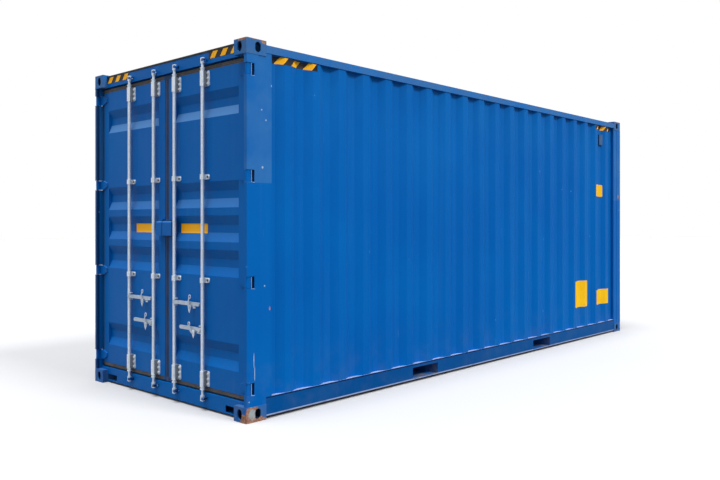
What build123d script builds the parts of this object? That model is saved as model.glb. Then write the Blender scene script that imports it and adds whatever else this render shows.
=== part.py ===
"""Twenty-foot high-cube shipping container with two bar-locked doors."""
import os
from math import ceil

from build123d import *

os.makedirs("parts", exist_ok=True)

# Overall size; the doors are at the low end of X and the origin is on the floor under the middle.
LENGTH = 6058
WIDTH = 2438
HEIGHT = 2896

# Sheet, plate and section thicknesses, and the gap left round what moves
SHEET = 2
PLATE = 4.5
POST_WALL = 6
FRAME_WALL = 3
SIDE_SETBACK = 2
MOVING_GAP = 6

# Corner castings; a lifting slot takes its place from the inner edges of its casting.
CASTING_LENGTH = 178
CASTING_WIDTH = 162
CASTING_HEIGHT = 118
CASTING_WALL = 16
CASTING_PLATE = 28
CASTING_ROUND = 12
SLOT_LENGTH = 124
SLOT_WIDTH = 63.5
SLOT_END_EDGE = 13.5
SLOT_SIDE_EDGE = 40.75
HOLE_HEIGHT = 79.5
END_HOLE_WIDTH = 58
SIDE_HOLE_WIDTH = 51

# Base frame
RAIL_BOTTOM = 25
RAIL_HEIGHT = 147
RAIL_FACE = 5
RAIL_FLANGE = 48
FLOOR_DROP = 4
FLOOR_THICK = 28
FLOOR_GAP = 1
MEMBER_GAP = 0.5
MEMBER_FLANGE = 45
MEMBER_SPACING = 310
POCKET_CENTRES = 2050
POCKET_WIDTH = 366
POCKET_WALL = 4

# Top frame
TOP_RAIL = 60
TOP_RAIL_DROP = 30
ROOF_RIB_DEPTH = 18
ROOF_RIB_PITCH = 209
ROOF_RIB_FOOT = 120
ROOF_RIB_SLOPE = 15

# Door posts
POST_FACE = 4
POST_LEG = 38
STOP_WIDTH = 16
STOP_DEPTH = 42
FLANGE_STEP = 3
FLANGE_PAST_CASTING = 52

# Header and sill
HEADER_GAP = 6
HEADER_DROP = 16
HEADER_STOP = 26
SILL_GAP = 10
SILL_BOTTOM = 18
SILL_STEP = 28
SILL_NOTCH_WIDTH = 180
SILL_NOTCH_RISE = 12
SILL_NOTCH_HEIGHT = 52

# Front posts and front wall
FRONT_POST_DEPTH = 100
FRONT_FLANGE_PAST_CASTING = 12
FRONT_WALL_FACE = 8
FRONT_RIB_DEPTH = 45
FRONT_RIB_FLAT = 110
FRONT_RIB_SLOPE = 18

# Side walls and ventilators
WALL_FACE = 9
WALL_FLAT = 60
RIB_DEPTH = 36
RIB_OUTER = 72
RIB_SLOPE = 68
RIB_INNER = 70
VENT_BACK = 68
VENT_FRONT = 90
VENT_HEIGHT = 138
VENT_DROP = 122
VENT_DEPTH = 24

# Door leaves
LEAF_DEPTH = 50
SEAM_GAP = 10
GASKET = 40
SEAM_GASKET = 28
GASKET_STEP = 4
GASKET_BEVEL = 10
GASKET_HEADER_GAP = 7
HINGE_STILE = 85
SEAM_STILE = 95
LEAF_RAIL = 150
RECESS_HEIGHT = 210
RECESS_SLOPE = 73
RECESS_END_SLOPE = 3
RECESS_DEPTH = 26
RECESS_PITCH = 272
RECESS_END_GAP = 23.5
RECESS_MARGIN = 6

# Hinges
PIN_DEPTH = 20
PIN_RADIUS = 8
PIN_PLAY = 0.6
EYE_RADIUS = 15
NECK_WIDTH = 24
BLADE_HEIGHT = 84
BLADE_TIP = 36
BLADE_THICK = 10
BLADE_LAP = 66
HINGE_GAP = 3
HINGE_CUT_BACK = 20
LUG_HEIGHT = 14
HINGE_COUNT = 4
HINGE_END = 67

# Lock bars, their brackets and their cams
BAR_RADIUS = 14
BAR_PLAY = 1
BAR_STANDOFF = 10
BAR_SEAM = 136
BAR_SPACING = 425
BAR_HEADER_REACH = 52
BAR_SILL_REACH = 64
BRACKET_FRONT = 1.5
BRACKET_WALL = 5.5
BRACKET_PLATE = 6
BRACKET_HEIGHT = 124
BRACKET_HEEL = 25
BRACKET_TOE = 58
BRACKET_CLIP = 10
BRACKET_EDGE = 6
GUIDE_HEIGHT = 40
GUIDE_SPREAD = 830
COLLAR_RADIUS = 20.5
COLLAR_HEIGHT = 22
COLLAR_GAP = 2
NECK_RADIUS = 11
CAM_HEIGHT = 46
CAM_RADIUS = 19
CAM_THICK = 20
CAM_MOUTH = 26
CAM_MOUTH_EDGE = 4
THROAT_GAP = 3
KEEPER_GAP = 11
KEEPER_PLATE = 8
KEEPER_LIP = 5
KEEPER_FRONT = 1
KEEPER_HEIGHT = 20

# Handles, their catches and latches
HANDLE_DROPS = [198, 398, 198, 398]
HANDLE_END_GAPS = [40, 92, 40, 92]
CATCH_REACHES = [256, 110, 256, 110]
HUB_REACH = 24
HUB_RADIUS = 17
HUB_THICK = 7
HUB_GAP = 0.5
HUB_LUG = 8
HUB_LUG_EDGE = 2
CRANK_RUN = 26
CRANK_HEEL = 4
HANDLE_HEIGHT = 30
HANDLE_THICK = 12
HANDLE_CLIP = 9
CATCH_WIDTH = 34
CATCH_PLATE = 4
CATCH_GAP = 5
CATCH_LIP = 8
CATCH_SHOULDER = 42
CATCH_TAIL = 75
CATCH_BACK = 20
SHELF_GAP = 7
LATCH_THICK = 4
LATCH_WIDTH = 16
LATCH_PIVOT = 34
LATCH_NECK = 22
LATCH_HOOK = 26
LATCH_CURL = 14

# Lock box over the seam
BOX_LEFT = 94
BOX_RIGHT = 148
BOX_HEIGHT = 124
BOX_FRONT = 4
BOX_BEND = 18
BOX_LEDGE = 30
BOX_LEDGE_GAP = 10

# Places that follow from those sizes; depths are behind the door end and insets are inside a long side.
END = LENGTH / 2
SIDE = WIDTH / 2
LEFT = 1
RIGHT = -1
TOP_CASTING = HEIGHT - CASTING_HEIGHT
SLOT_FROM_END = CASTING_LENGTH - SLOT_END_EDGE - SLOT_LENGTH / 2
SLOT_FROM_SIDE = CASTING_WIDTH - SLOT_SIDE_EDGE - SLOT_WIDTH / 2
RAIL_TOP = RAIL_BOTTOM + RAIL_HEIGHT
FLOOR_TOP = RAIL_TOP - FLOOR_DROP
FLOOR_BOTTOM = FLOOR_TOP - FLOOR_THICK
SILL_TOP = FLOOR_TOP - SILL_STEP
TOP_RAIL_TOP = HEIGHT - TOP_RAIL_DROP
TOP_RAIL_BOTTOM = TOP_RAIL_TOP - TOP_RAIL
BAR_FRONT = BRACKET_FRONT + BRACKET_WALL + BAR_PLAY
BAR_DEPTH = BAR_FRONT + BAR_RADIUS
BAR_BACK = BAR_DEPTH + BAR_RADIUS
HEADER_FACE = BAR_BACK + HEADER_GAP
SILL_FACE = BAR_BACK + SILL_GAP
LEAF_FACE = BAR_BACK + BAR_STANDOFF + BRACKET_PLATE
LEAF_BACK = LEAF_FACE + LEAF_DEPTH
STOP_FACE = LEAF_BACK + MOVING_GAP
POST_DEPTH = STOP_FACE + STOP_DEPTH
POST_INSET = POST_LEG + STOP_WIDTH
POST_FLANGE = CASTING_LENGTH + FLANGE_PAST_CASTING
FLANGE_FACE = SIDE_SETBACK + FLANGE_STEP
RAIL_START = max(CASTING_LENGTH, POST_DEPTH)
FRONT_FLANGE = CASTING_LENGTH + FRONT_FLANGE_PAST_CASTING
FRONT_POST_WIDTH = RAIL_FACE + RAIL_FLANGE - FLOOR_GAP
RIB_START = POST_FLANGE + WALL_FLAT
RIB_PITCH = RIB_OUTER + 2 * RIB_SLOPE + RIB_INNER
RIB_COUNT = int((LENGTH - FRONT_FLANGE - RIB_START) // RIB_PITCH)
GASKET_BOTTOM = SILL_TOP + MOVING_GAP
GASKET_TOP = TOP_CASTING - GASKET_HEADER_GAP
LEAF_SEAM = SEAM_GAP / 2 + SEAM_GASKET
LEAF_HINGE = SIDE - POST_LEG - MOVING_GAP - GASKET
LEAF_BOTTOM = GASKET_BOTTOM + GASKET
LEAF_TOP = GASKET_TOP - GASKET
LEAF_MIDDLE = (LEAF_BOTTOM + LEAF_TOP) / 2
PIN_INSET = (SIDE_SETBACK + POST_LEG) / 2
HINGE_CUT = BLADE_HEIGHT + 2 * HINGE_GAP
HINGE_CUT_DEPTH = LEAF_FACE + HINGE_CUT_BACK
HINGE_SPACING = (LEAF_TOP - LEAF_BOTTOM - 2 * HINGE_END) / (HINGE_COUNT - 1)
HINGE_HEIGHTS = [LEAF_BOTTOM + HINGE_END + count * HINGE_SPACING for count in range(HINGE_COUNT)]
BAR_INNER = LEAF_SEAM + BAR_SEAM
BAR_OUTER = BAR_INNER + BAR_SPACING
BAR_CENTRES = [BAR_OUTER, BAR_INNER, -BAR_INNER, -BAR_OUTER]
BAR_TOP = TOP_CASTING + BAR_HEADER_REACH
BAR_BOTTOM = SILL_TOP - BAR_SILL_REACH
GUIDE_CENTRES = [LEAF_MIDDLE - GUIDE_SPREAD / 2, LEAF_MIDDLE + GUIDE_SPREAD / 2]
HANDLE_WAYS = [RIGHT, LEFT, RIGHT, LEFT]
HANDLE_CENTRES = [GUIDE_CENTRES[0] - drop for drop in HANDLE_DROPS]
HUB_FRONT = BAR_FRONT - HUB_GAP - HUB_THICK
CATCH_FRONT = HUB_FRONT + LATCH_THICK + HUB_GAP
HANDLE_FRONT = CATCH_FRONT + CATCH_PLATE + CATCH_GAP
HANDLE_BACK = HANDLE_FRONT + HANDLE_THICK


def deep(distance):
    """X at a distance behind the plane of the door end."""
    return distance - END


def inset(distance, side):
    """Y at a distance inside the plane of one long side."""
    return side * (SIDE - distance)


def facing_door_end(depth, y, z):
    """Plane behind the door end with its first axis along Y, its second along Z and its normal inward."""
    return Plane((deep(depth), y, z), x_dir=(0, 1, 0), z_dir=(1, 0, 0))


def block(x, y, z, mode=Mode.ADD):
    """Box between two limits on each axis."""
    with Locations(((x[0] + x[1]) / 2, (y[0] + y[1]) / 2, (z[0] + z[1]) / 2)):
        Box(abs(x[1] - x[0]), abs(y[1] - y[0]), abs(z[1] - z[0]), mode=mode)


def corner_casting(bottom, slot_plane, low_wall, high_wall):
    """Hollow corner casting of the right-hand door corner with its three apertures."""
    middle = bottom + CASTING_HEIGHT / 2
    slot_x = SLOT_FROM_END - END
    slot_y = SLOT_FROM_SIDE - SIDE
    with BuildPart() as casting:
        block((-END, deep(CASTING_LENGTH)), (-SIDE, CASTING_WIDTH - SIDE), (bottom, bottom + CASTING_HEIGHT))
        outer_edge = casting.edges().filter_by(Axis.Z).sort_by(Axis.X)[:2].sort_by(Axis.Y)[0]
        fillet(outer_edge, CASTING_ROUND)
        block(
            (deep(CASTING_WALL), deep(CASTING_LENGTH - CASTING_WALL)),
            (CASTING_WALL - SIDE, CASTING_WIDTH - CASTING_WALL - SIDE),
            (bottom + low_wall, bottom + CASTING_HEIGHT - high_wall),
            mode=Mode.SUBTRACT,
        )
        with BuildSketch(Plane((slot_x, slot_y, slot_plane))):
            SlotOverall(SLOT_LENGTH, SLOT_WIDTH)
        extrude(amount=CASTING_PLATE + 1, both=True, mode=Mode.SUBTRACT)
        with BuildSketch(Plane((slot_x, -SIDE, middle), x_dir=(1, 0, 0), z_dir=(0, -1, 0))):
            SlotOverall(HOLE_HEIGHT, SIDE_HOLE_WIDTH, rotation=90)
        extrude(amount=CASTING_WALL + 1, both=True, mode=Mode.SUBTRACT)
        with BuildSketch(facing_door_end(0, slot_y, middle)):
            SlotOverall(HOLE_HEIGHT, END_HOLE_WIDTH, rotation=90)
        extrude(amount=CASTING_WALL + 1, both=True, mode=Mode.SUBTRACT)
    return casting


def door_frame(side):
    """Leaf frame of hollow sections; the stiles run through and are open at their ends."""
    outer = (deep(LEAF_FACE), deep(LEAF_BACK))
    inner = (outer[0] + FRAME_WALL, outer[1] - FRAME_WALL)
    seam_edge = side * (LEAF_SEAM + SEAM_STILE)
    hinge_edge = side * (LEAF_HINGE - HINGE_STILE)
    wall = side * FRAME_WALL
    low_rail = LEAF_BOTTOM + LEAF_RAIL
    high_rail = LEAF_TOP - LEAF_RAIL
    with BuildPart() as frame:
        block(outer, (side * LEAF_SEAM, side * LEAF_HINGE), (LEAF_BOTTOM, LEAF_TOP))
        block(outer, (seam_edge, hinge_edge), (low_rail, high_rail), mode=Mode.SUBTRACT)
        tall = (LEAF_BOTTOM, LEAF_TOP)
        block(inner, (side * LEAF_SEAM + wall, seam_edge - wall), tall, mode=Mode.SUBTRACT)
        block(inner, (hinge_edge + wall, side * LEAF_HINGE - wall), tall, mode=Mode.SUBTRACT)
        across = (seam_edge - 2 * wall, hinge_edge + 2 * wall)
        block(inner, across, (LEAF_BOTTOM + FRAME_WALL, low_rail - FRAME_WALL), mode=Mode.SUBTRACT)
        block(inner, across, (high_rail + FRAME_WALL, LEAF_TOP - FRAME_WALL), mode=Mode.SUBTRACT)
    return frame


def door_panel(side):
    """Die-stamped door sheet with five level recesses: three in the middle and one near each end."""
    y_low = side * (LEAF_SEAM + SEAM_STILE)
    y_high = side * (LEAF_HINGE - HINGE_STILE)
    z_low = LEAF_BOTTOM + LEAF_RAIL
    z_high = LEAF_TOP - LEAF_RAIL
    from_end = RECESS_END_GAP + RECESS_HEIGHT / 2
    centres = [z_low + from_end, z_high - from_end]
    centres += [LEAF_MIDDLE + count * RECESS_PITCH for count in (-1, 0, 1)]
    inside = abs(y_high - y_low) - 2 * RECESS_MARGIN
    with BuildPart() as panel:
        block((deep(LEAF_FACE), deep(LEAF_FACE + SHEET)), (y_low, y_high), (z_low, z_high))
        for depth, wide, mode in (
            (LEAF_FACE + SHEET, inside + 2 * SHEET, Mode.ADD),
            (LEAF_FACE, inside, Mode.SUBTRACT),
        ):
            for centre in centres:
                with Locations((deep(depth), (y_low + y_high) / 2, centre)):
                    Wedge(
                        wide,
                        RECESS_DEPTH,
                        RECESS_HEIGHT,
                        RECESS_END_SLOPE,
                        RECESS_SLOPE,
                        wide - RECESS_END_SLOPE,
                        RECESS_HEIGHT - RECESS_SLOPE,
                        rotation=(0, 0, -90),
                        align=(Align.CENTER, Align.MIN, Align.CENTER),
                        mode=mode,
                    )
    return panel


def door_gasket(side):
    """Rubber seal round one leaf with a bevelled outer lip."""
    seal_x = (deep(LEAF_FACE + GASKET_STEP), deep(LEAF_BACK))
    with BuildPart() as gasket:
        block(seal_x, (side * SEAM_GAP / 2, side * (LEAF_HINGE + GASKET)), (GASKET_BOTTOM, GASKET_TOP))
        chamfer(gasket.faces().sort_by(Axis.X)[0].edges(), GASKET_BEVEL)
        block(seal_x, (side * LEAF_SEAM, side * LEAF_HINGE), (LEAF_BOTTOM, LEAF_TOP), mode=Mode.SUBTRACT)
    return gasket


def hinge_blades(side):
    """Hinge blades of one leaf: an eye on the pin, a neck and a tapered strap lapped on the leaf."""
    neck_near = PIN_INSET - NECK_WIDTH / 2
    neck_far = PIN_INSET + NECK_WIDTH / 2
    leaf_edge = SIDE - LEAF_HINGE
    strap = [
        (inset(neck_near, side), -BLADE_HEIGHT / 2),
        (inset(leaf_edge, side), -BLADE_HEIGHT / 2),
        (inset(leaf_edge + BLADE_LAP, side), -BLADE_TIP / 2),
        (inset(leaf_edge + BLADE_LAP, side), BLADE_TIP / 2),
        (inset(leaf_edge, side), BLADE_HEIGHT / 2),
        (inset(neck_near, side), BLADE_HEIGHT / 2),
    ]
    with BuildPart() as blades:
        for height in HINGE_HEIGHTS:
            with BuildSketch(facing_door_end(LEAF_FACE, 0, height)):
                Polygon(*strap, align=None)
            extrude(amount=-BLADE_THICK)
            block(
                (deep(PIN_DEPTH), deep(LEAF_FACE)),
                (inset(neck_near, side), inset(neck_far, side)),
                (height - BLADE_HEIGHT / 2, height + BLADE_HEIGHT / 2),
            )
            with Locations((deep(PIN_DEPTH), inset(PIN_INSET, side), height)):
                Cylinder(EYE_RADIUS, BLADE_HEIGHT)
                Cylinder(PIN_RADIUS + PIN_PLAY, BLADE_HEIGHT, mode=Mode.SUBTRACT)
    return blades


def bar_brackets(centres):
    """End bearings and middle guides of two lock bars, each a round saddle on a foot with clipped corners."""
    bore = BAR_RADIUS + BAR_PLAY
    saddle = bore + BRACKET_WALL
    low = LEAF_BOTTOM + BRACKET_EDGE + BRACKET_HEIGHT / 2
    high = LEAF_TOP - BRACKET_EDGE - BRACKET_HEIGHT / 2
    places = [(low, BRACKET_HEIGHT), (high, BRACKET_HEIGHT)]
    places += [(height, GUIDE_HEIGHT) for height in GUIDE_CENTRES]
    plate_front = LEAF_FACE - BRACKET_PLATE
    with BuildPart() as brackets:
        for y in centres:
            for height, tall in places:
                with BuildSketch(Plane((deep(BAR_DEPTH), y, height - tall / 2))):
                    Circle(saddle)
                    Rectangle(plate_front - BAR_DEPTH, 2 * saddle, align=(Align.MIN, Align.CENTER))
                    Circle(bore, mode=Mode.SUBTRACT)
                    Rectangle(
                        plate_front - BAR_DEPTH,
                        2 * bore,
                        align=(Align.MIN, Align.CENTER),
                        mode=Mode.SUBTRACT,
                    )
                extrude(amount=tall)
                foot = [
                    (BRACKET_HEEL, -tall / 2),
                    (BRACKET_HEEL, tall / 2),
                    (BRACKET_CLIP - BRACKET_TOE, tall / 2),
                    (-BRACKET_TOE, tall / 2 - BRACKET_CLIP),
                    (-BRACKET_TOE, BRACKET_CLIP - tall / 2),
                    (BRACKET_CLIP - BRACKET_TOE, -tall / 2),
                ]
                with BuildSketch(facing_door_end(plate_front, y, height)):
                    Polygon(*foot, align=None)
                extrude(amount=BRACKET_PLATE)
    return brackets


def lock_bar(number):
    """Lock bar with a collar outside each end bearing, a claw cam at each end and a lug for its handle."""
    y = BAR_CENTRES[number]
    z = HANDLE_CENTRES[number]
    way = HANDLE_WAYS[number]
    length = BAR_TOP - BAR_BOTTOM - 2 * CAM_HEIGHT
    shaft = LEAF_TOP - LEAF_BOTTOM - 2 * (BRACKET_EDGE - COLLAR_GAP)
    lug_front = HUB_FRONT + HUB_THICK + HUB_GAP
    lug_reach = HUB_REACH + HUB_RADIUS - HUB_LUG_EDGE
    lug_half = HUB_RADIUS - HUB_LUG_EDGE
    low_collar = LEAF_BOTTOM + BRACKET_EDGE - COLLAR_GAP - COLLAR_HEIGHT / 2
    high_collar = LEAF_TOP - BRACKET_EDGE + COLLAR_GAP + COLLAR_HEIGHT / 2
    with BuildPart() as bar:
        with Locations((deep(BAR_DEPTH), y, (BAR_BOTTOM + BAR_TOP) / 2)):
            Cylinder(NECK_RADIUS, length)
        with Locations((deep(BAR_DEPTH), y, LEAF_MIDDLE)):
            Cylinder(BAR_RADIUS, shaft)
        block(
            (deep(lug_front), deep(lug_front + HUB_LUG)),
            (y, y + way * lug_reach),
            (z - lug_half, z + lug_half),
        )
        with Locations((deep(BAR_DEPTH), y, low_collar)):
            Cone(COLLAR_RADIUS, BAR_RADIUS, COLLAR_HEIGHT)
        with Locations((deep(BAR_DEPTH), y, high_collar)):
            Cone(BAR_RADIUS, COLLAR_RADIUS, COLLAR_HEIGHT)
        for low in (BAR_BOTTOM, BAR_TOP - CAM_HEIGHT):
            with BuildSketch(Plane((deep(BAR_DEPTH), y, low))):
                Circle(CAM_RADIUS)
                Rectangle(CAM_THICK, 2 * CAM_RADIUS, mode=Mode.INTERSECT)
            extrude(amount=CAM_HEIGHT)
            middle = low + CAM_HEIGHT / 2
            block(
                (deep(BAR_DEPTH - CAM_THICK), deep(BAR_DEPTH + CAM_THICK)),
                (y - CAM_MOUTH_EDGE, y - CAM_RADIUS - 1),
                (middle - CAM_MOUTH / 2, middle + CAM_MOUTH / 2),
                mode=Mode.SUBTRACT,
            )
    return bar


def handle(number):
    """Cranked handle with a round hub on the lug of its lock bar and clipped corners at its free end."""
    z = HANDLE_CENTRES[number]
    way = HANDLE_WAYS[number]
    y = BAR_CENTRES[number] + way * HUB_REACH
    length = BAR_SPACING - HANDLE_END_GAPS[number] - HUB_REACH
    crank = HUB_RADIUS + CRANK_RUN
    section = [
        (deep(HUB_FRONT), y),
        (deep(HUB_FRONT), y + way * HUB_RADIUS),
        (deep(HANDLE_FRONT), y + way * crank),
        (deep(HANDLE_FRONT), y + way * length),
        (deep(HANDLE_BACK), y + way * length),
        (deep(HANDLE_BACK), y + way * crank),
        (deep(HUB_FRONT + HUB_THICK), y + way * (HUB_RADIUS + CRANK_HEEL)),
        (deep(HUB_FRONT + HUB_THICK), y),
    ]
    with BuildPart() as lever:
        with BuildSketch(Plane.XY.offset(z - HANDLE_HEIGHT / 2)):
            Polygon(*section, align=None)
        extrude(amount=HANDLE_HEIGHT)
        free_end = lever.faces().filter_by(Axis.Y).sort_by(Axis.Y)[0 if way == RIGHT else -1]
        chamfer(free_end.edges().filter_by(Axis.X), HANDLE_CLIP)
        with BuildSketch(facing_door_end(HUB_FRONT, y, z)):
            Circle(HUB_RADIUS)
        extrude(amount=HUB_THICK)
    return lever


def handle_catches(numbers):
    """Catch brackets: a shelf under the handle, a back plate and a front plate with a pointed tail."""
    half = CATCH_WIDTH / 2
    front_plate = [
        (-half, -CATCH_LIP),
        (half, -CATCH_LIP),
        (half, -CATCH_SHOULDER),
        (0, -CATCH_TAIL),
        (-half, -CATCH_SHOULDER),
    ]
    shelf_top = -HANDLE_HEIGHT / 2 - SHELF_GAP
    with BuildPart() as catches:
        for number in numbers:
            y = BAR_CENTRES[number] + HANDLE_WAYS[number] * CATCH_REACHES[number]
            z = HANDLE_CENTRES[number]
            across = (y - half, y + half)
            top = z + shelf_top
            block((deep(CATCH_FRONT), deep(LEAF_FACE)), across, (top - CATCH_PLATE, top))
            block((deep(LEAF_FACE - CATCH_PLATE), deep(LEAF_FACE)), across, (top - CATCH_BACK, top))
            with BuildSketch(facing_door_end(CATCH_FRONT, y, z)):
                Polygon(*front_plate, align=None)
            extrude(amount=CATCH_PLATE)
    return catches


def latch(number):
    """Hooked latch that stands in front of the handle and turns aside on its bolt."""
    y = BAR_CENTRES[number] + HANDLE_WAYS[number] * CATCH_REACHES[number]
    half = LATCH_WIDTH / 2
    hook = [
        (-half, -LATCH_PIVOT),
        (half, -LATCH_PIVOT),
        (half, LATCH_NECK),
        (-LATCH_CURL, LATCH_NECK + LATCH_HOOK),
        (-LATCH_CURL - half, LATCH_NECK + LATCH_HOOK - half),
        (-half, LATCH_NECK - half),
    ]
    with BuildPart() as turned_hook:
        with BuildSketch(facing_door_end(HUB_FRONT, y, HANDLE_CENTRES[number])):
            Polygon(*hook, align=None)
            with Locations((0, -LATCH_PIVOT), (-LATCH_CURL, LATCH_NECK + LATCH_HOOK - half)):
                Circle(half)
        extrude(amount=LATCH_THICK)
    return turned_hook


def lock_box(side, width):
    """One half of the padlock hood: a bent plate with a closed outer end, open below, under a short ledge."""
    depth = LEAF_FACE - BOX_FRONT
    top = LEAF_MIDDLE + BOX_HEIGHT / 2
    length = width - SEAM_GAP / 2
    at_seam = Plane((deep(BOX_FRONT), side * SEAM_GAP / 2, top), x_dir=(1, 0, 0), z_dir=(0, -1, 0))
    at_end = Plane((deep(BOX_FRONT), side * width, top), x_dir=(1, 0, 0), z_dir=(0, -1, 0))
    with BuildPart() as hood:
        with BuildSketch(at_seam):
            with BuildLine():
                FilletPolyline((0, -BOX_HEIGHT), (0, 0), (depth, 0), radius=BOX_BEND)
                Line((depth, 0), (depth, -PLATE))
                FilletPolyline(
                    (depth, -PLATE),
                    (PLATE, -PLATE),
                    (PLATE, -BOX_HEIGHT),
                    radius=BOX_BEND - PLATE,
                )
                Line((PLATE, -BOX_HEIGHT), (0, -BOX_HEIGHT))
            make_face()
        extrude(amount=-side * length)
        with BuildSketch(at_end):
            with BuildLine():
                FilletPolyline((0, -BOX_HEIGHT), (0, 0), (depth, 0), radius=BOX_BEND)
                Polyline((depth, 0), (depth, -BOX_HEIGHT), (0, -BOX_HEIGHT))
            make_face()
        extrude(amount=side * PLATE)
        block(
            (deep(LEAF_FACE - BOX_LEDGE), deep(LEAF_FACE)),
            (side * LEAF_SEAM, side * width),
            (top + BOX_LEDGE_GAP, top + BOX_LEDGE_GAP + PLATE),
        )
    return hood


def export(part, name):
    """Label one piece and write it out."""
    part.label = name
    export_step(part, f"parts/{name}.step")


bottom_casting = corner_casting(0, 0, CASTING_PLATE, CASTING_WALL)
top_casting = corner_casting(TOP_CASTING, HEIGHT, CASTING_WALL, CASTING_PLATE)
with BuildPart() as corner_castings:
    add(bottom_casting.part)
    add(top_casting.part)
    mirror(about=Plane.YZ)
    mirror(about=Plane.XZ)

with BuildPart() as door_posts:
    for side in (LEFT, RIGHT):
        section = [
            (deep(POST_FACE), inset(SIDE_SETBACK, side)),
            (deep(POST_FACE), inset(POST_LEG, side)),
            (deep(STOP_FACE), inset(POST_LEG, side)),
            (deep(STOP_FACE), inset(POST_INSET, side)),
            (deep(POST_DEPTH), inset(POST_INSET, side)),
            (deep(POST_DEPTH), inset(FLANGE_FACE, side)),
            (deep(STOP_FACE), inset(FLANGE_FACE, side)),
            (deep(STOP_FACE), inset(SIDE_SETBACK, side)),
        ]
        with BuildSketch(Plane.XY.offset(CASTING_HEIGHT)):
            Polygon(*section, align=None)
            offset(amount=-POST_WALL, kind=Kind.INTERSECTION, mode=Mode.SUBTRACT)
        extrude(amount=TOP_CASTING - CASTING_HEIGHT)
        flange = (inset(FLANGE_FACE, side), inset(FLANGE_FACE + POST_WALL, side))
        block((deep(POST_DEPTH), deep(CASTING_LENGTH)), flange, (CASTING_HEIGHT, TOP_CASTING))
        block((deep(CASTING_LENGTH), deep(POST_FLANGE)), flange, (RAIL_TOP, TOP_RAIL_BOTTOM))
        for height in HINGE_HEIGHTS:
            block(
                (deep(0), deep(HINGE_CUT_DEPTH)),
                (inset(0, side), inset(POST_LEG, side)),
                (height - HINGE_CUT / 2, height + HINGE_CUT / 2),
                mode=Mode.SUBTRACT,
            )

with BuildPart() as hinge_pins:
    lug_x = (deep(POST_FACE + POST_WALL), deep(HINGE_CUT_DEPTH))
    for side in (LEFT, RIGHT):
        lug_y = (inset(SIDE_SETBACK + POST_WALL, side), inset(POST_LEG - POST_WALL, side))
        for height in HINGE_HEIGHTS:
            for edge, end in ((HINGE_CUT / 2, LUG_HEIGHT), (-HINGE_CUT / 2, -LUG_HEIGHT)):
                block(lug_x, lug_y, (height + edge, height + edge + end))
            with Locations((deep(PIN_DEPTH), inset(PIN_INSET, side), height)):
                Cylinder(PIN_RADIUS, HINGE_CUT + LUG_HEIGHT)

with BuildPart() as front_posts:
    for side in (LEFT, RIGHT):
        section = [
            (END - SIDE_SETBACK, inset(SIDE_SETBACK, side)),
            (END - SIDE_SETBACK, inset(FRONT_POST_WIDTH, side)),
            (END - FRONT_POST_DEPTH, inset(FRONT_POST_WIDTH, side)),
            (END - FRONT_POST_DEPTH, inset(SIDE_SETBACK, side)),
        ]
        with BuildSketch(Plane.XY.offset(CASTING_HEIGHT)):
            Polygon(*section, align=None)
            offset(amount=-POST_WALL, kind=Kind.INTERSECTION, mode=Mode.SUBTRACT)
        extrude(amount=TOP_CASTING - CASTING_HEIGHT)
        side_strip = (inset(FLANGE_FACE, side), inset(FLANGE_FACE + POST_WALL, side))
        block((END - CASTING_LENGTH, END - FRONT_POST_DEPTH), side_strip, (CASTING_HEIGHT, TOP_CASTING))
        block((END - FRONT_FLANGE, END - CASTING_LENGTH), side_strip, (RAIL_TOP, TOP_RAIL_BOTTOM))
        end_strip = (inset(FRONT_POST_WIDTH, side), inset(CASTING_WIDTH, side))
        block((END - SIDE_SETBACK - POST_WALL, END - SIDE_SETBACK), end_strip, (CASTING_HEIGHT, TOP_CASTING))

with BuildPart() as door_header:
    reach = SIDE - CASTING_WIDTH
    stop_reach = SIDE - POST_INSET
    header_top = HEIGHT - HEADER_DROP
    block((deep(HEADER_FACE), deep(POST_DEPTH)), (-reach, reach), (TOP_CASTING, header_top))
    block(
        (deep(HEADER_FACE + PLATE), deep(POST_DEPTH)),
        (-reach, reach),
        (TOP_CASTING + PLATE, header_top - PLATE),
        mode=Mode.SUBTRACT,
    )
    stop_z = (TOP_CASTING - HEADER_STOP, TOP_CASTING)
    block((deep(STOP_FACE), deep(STOP_FACE + POST_WALL)), (-stop_reach, stop_reach), stop_z)

with BuildPart() as door_sill:
    reach = SIDE - CASTING_WIDTH
    stop_reach = SIDE - POST_INSET
    notch = (SILL_BOTTOM + SILL_NOTCH_RISE, SILL_BOTTOM + SILL_NOTCH_RISE + SILL_NOTCH_HEIGHT)
    block((deep(SILL_FACE), deep(POST_DEPTH)), (-stop_reach, stop_reach), (SILL_BOTTOM, SILL_TOP))
    block((deep(STOP_FACE), deep(POST_DEPTH)), (-stop_reach, stop_reach), (SILL_TOP, FLOOR_TOP))
    block(
        (deep(SILL_FACE + PLATE), deep(POST_DEPTH)),
        (-stop_reach, stop_reach),
        (SILL_BOTTOM + PLATE, SILL_TOP - PLATE),
        mode=Mode.SUBTRACT,
    )
    block(
        (deep(STOP_FACE + PLATE), deep(POST_DEPTH)),
        (-stop_reach, stop_reach),
        (SILL_TOP - PLATE, FLOOR_TOP - PLATE),
        mode=Mode.SUBTRACT,
    )
    for side in (LEFT, RIGHT):
        block(
            (deep(0), deep(CASTING_LENGTH)),
            (inset(0, side), inset(CASTING_WIDTH, side)),
            (0, CASTING_HEIGHT),
            mode=Mode.SUBTRACT,
        )
        block(
            (deep(SILL_FACE), deep(SILL_FACE + PLATE)),
            (side * reach, side * (reach - SILL_NOTCH_WIDTH)),
            notch,
            mode=Mode.SUBTRACT,
        )

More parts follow.
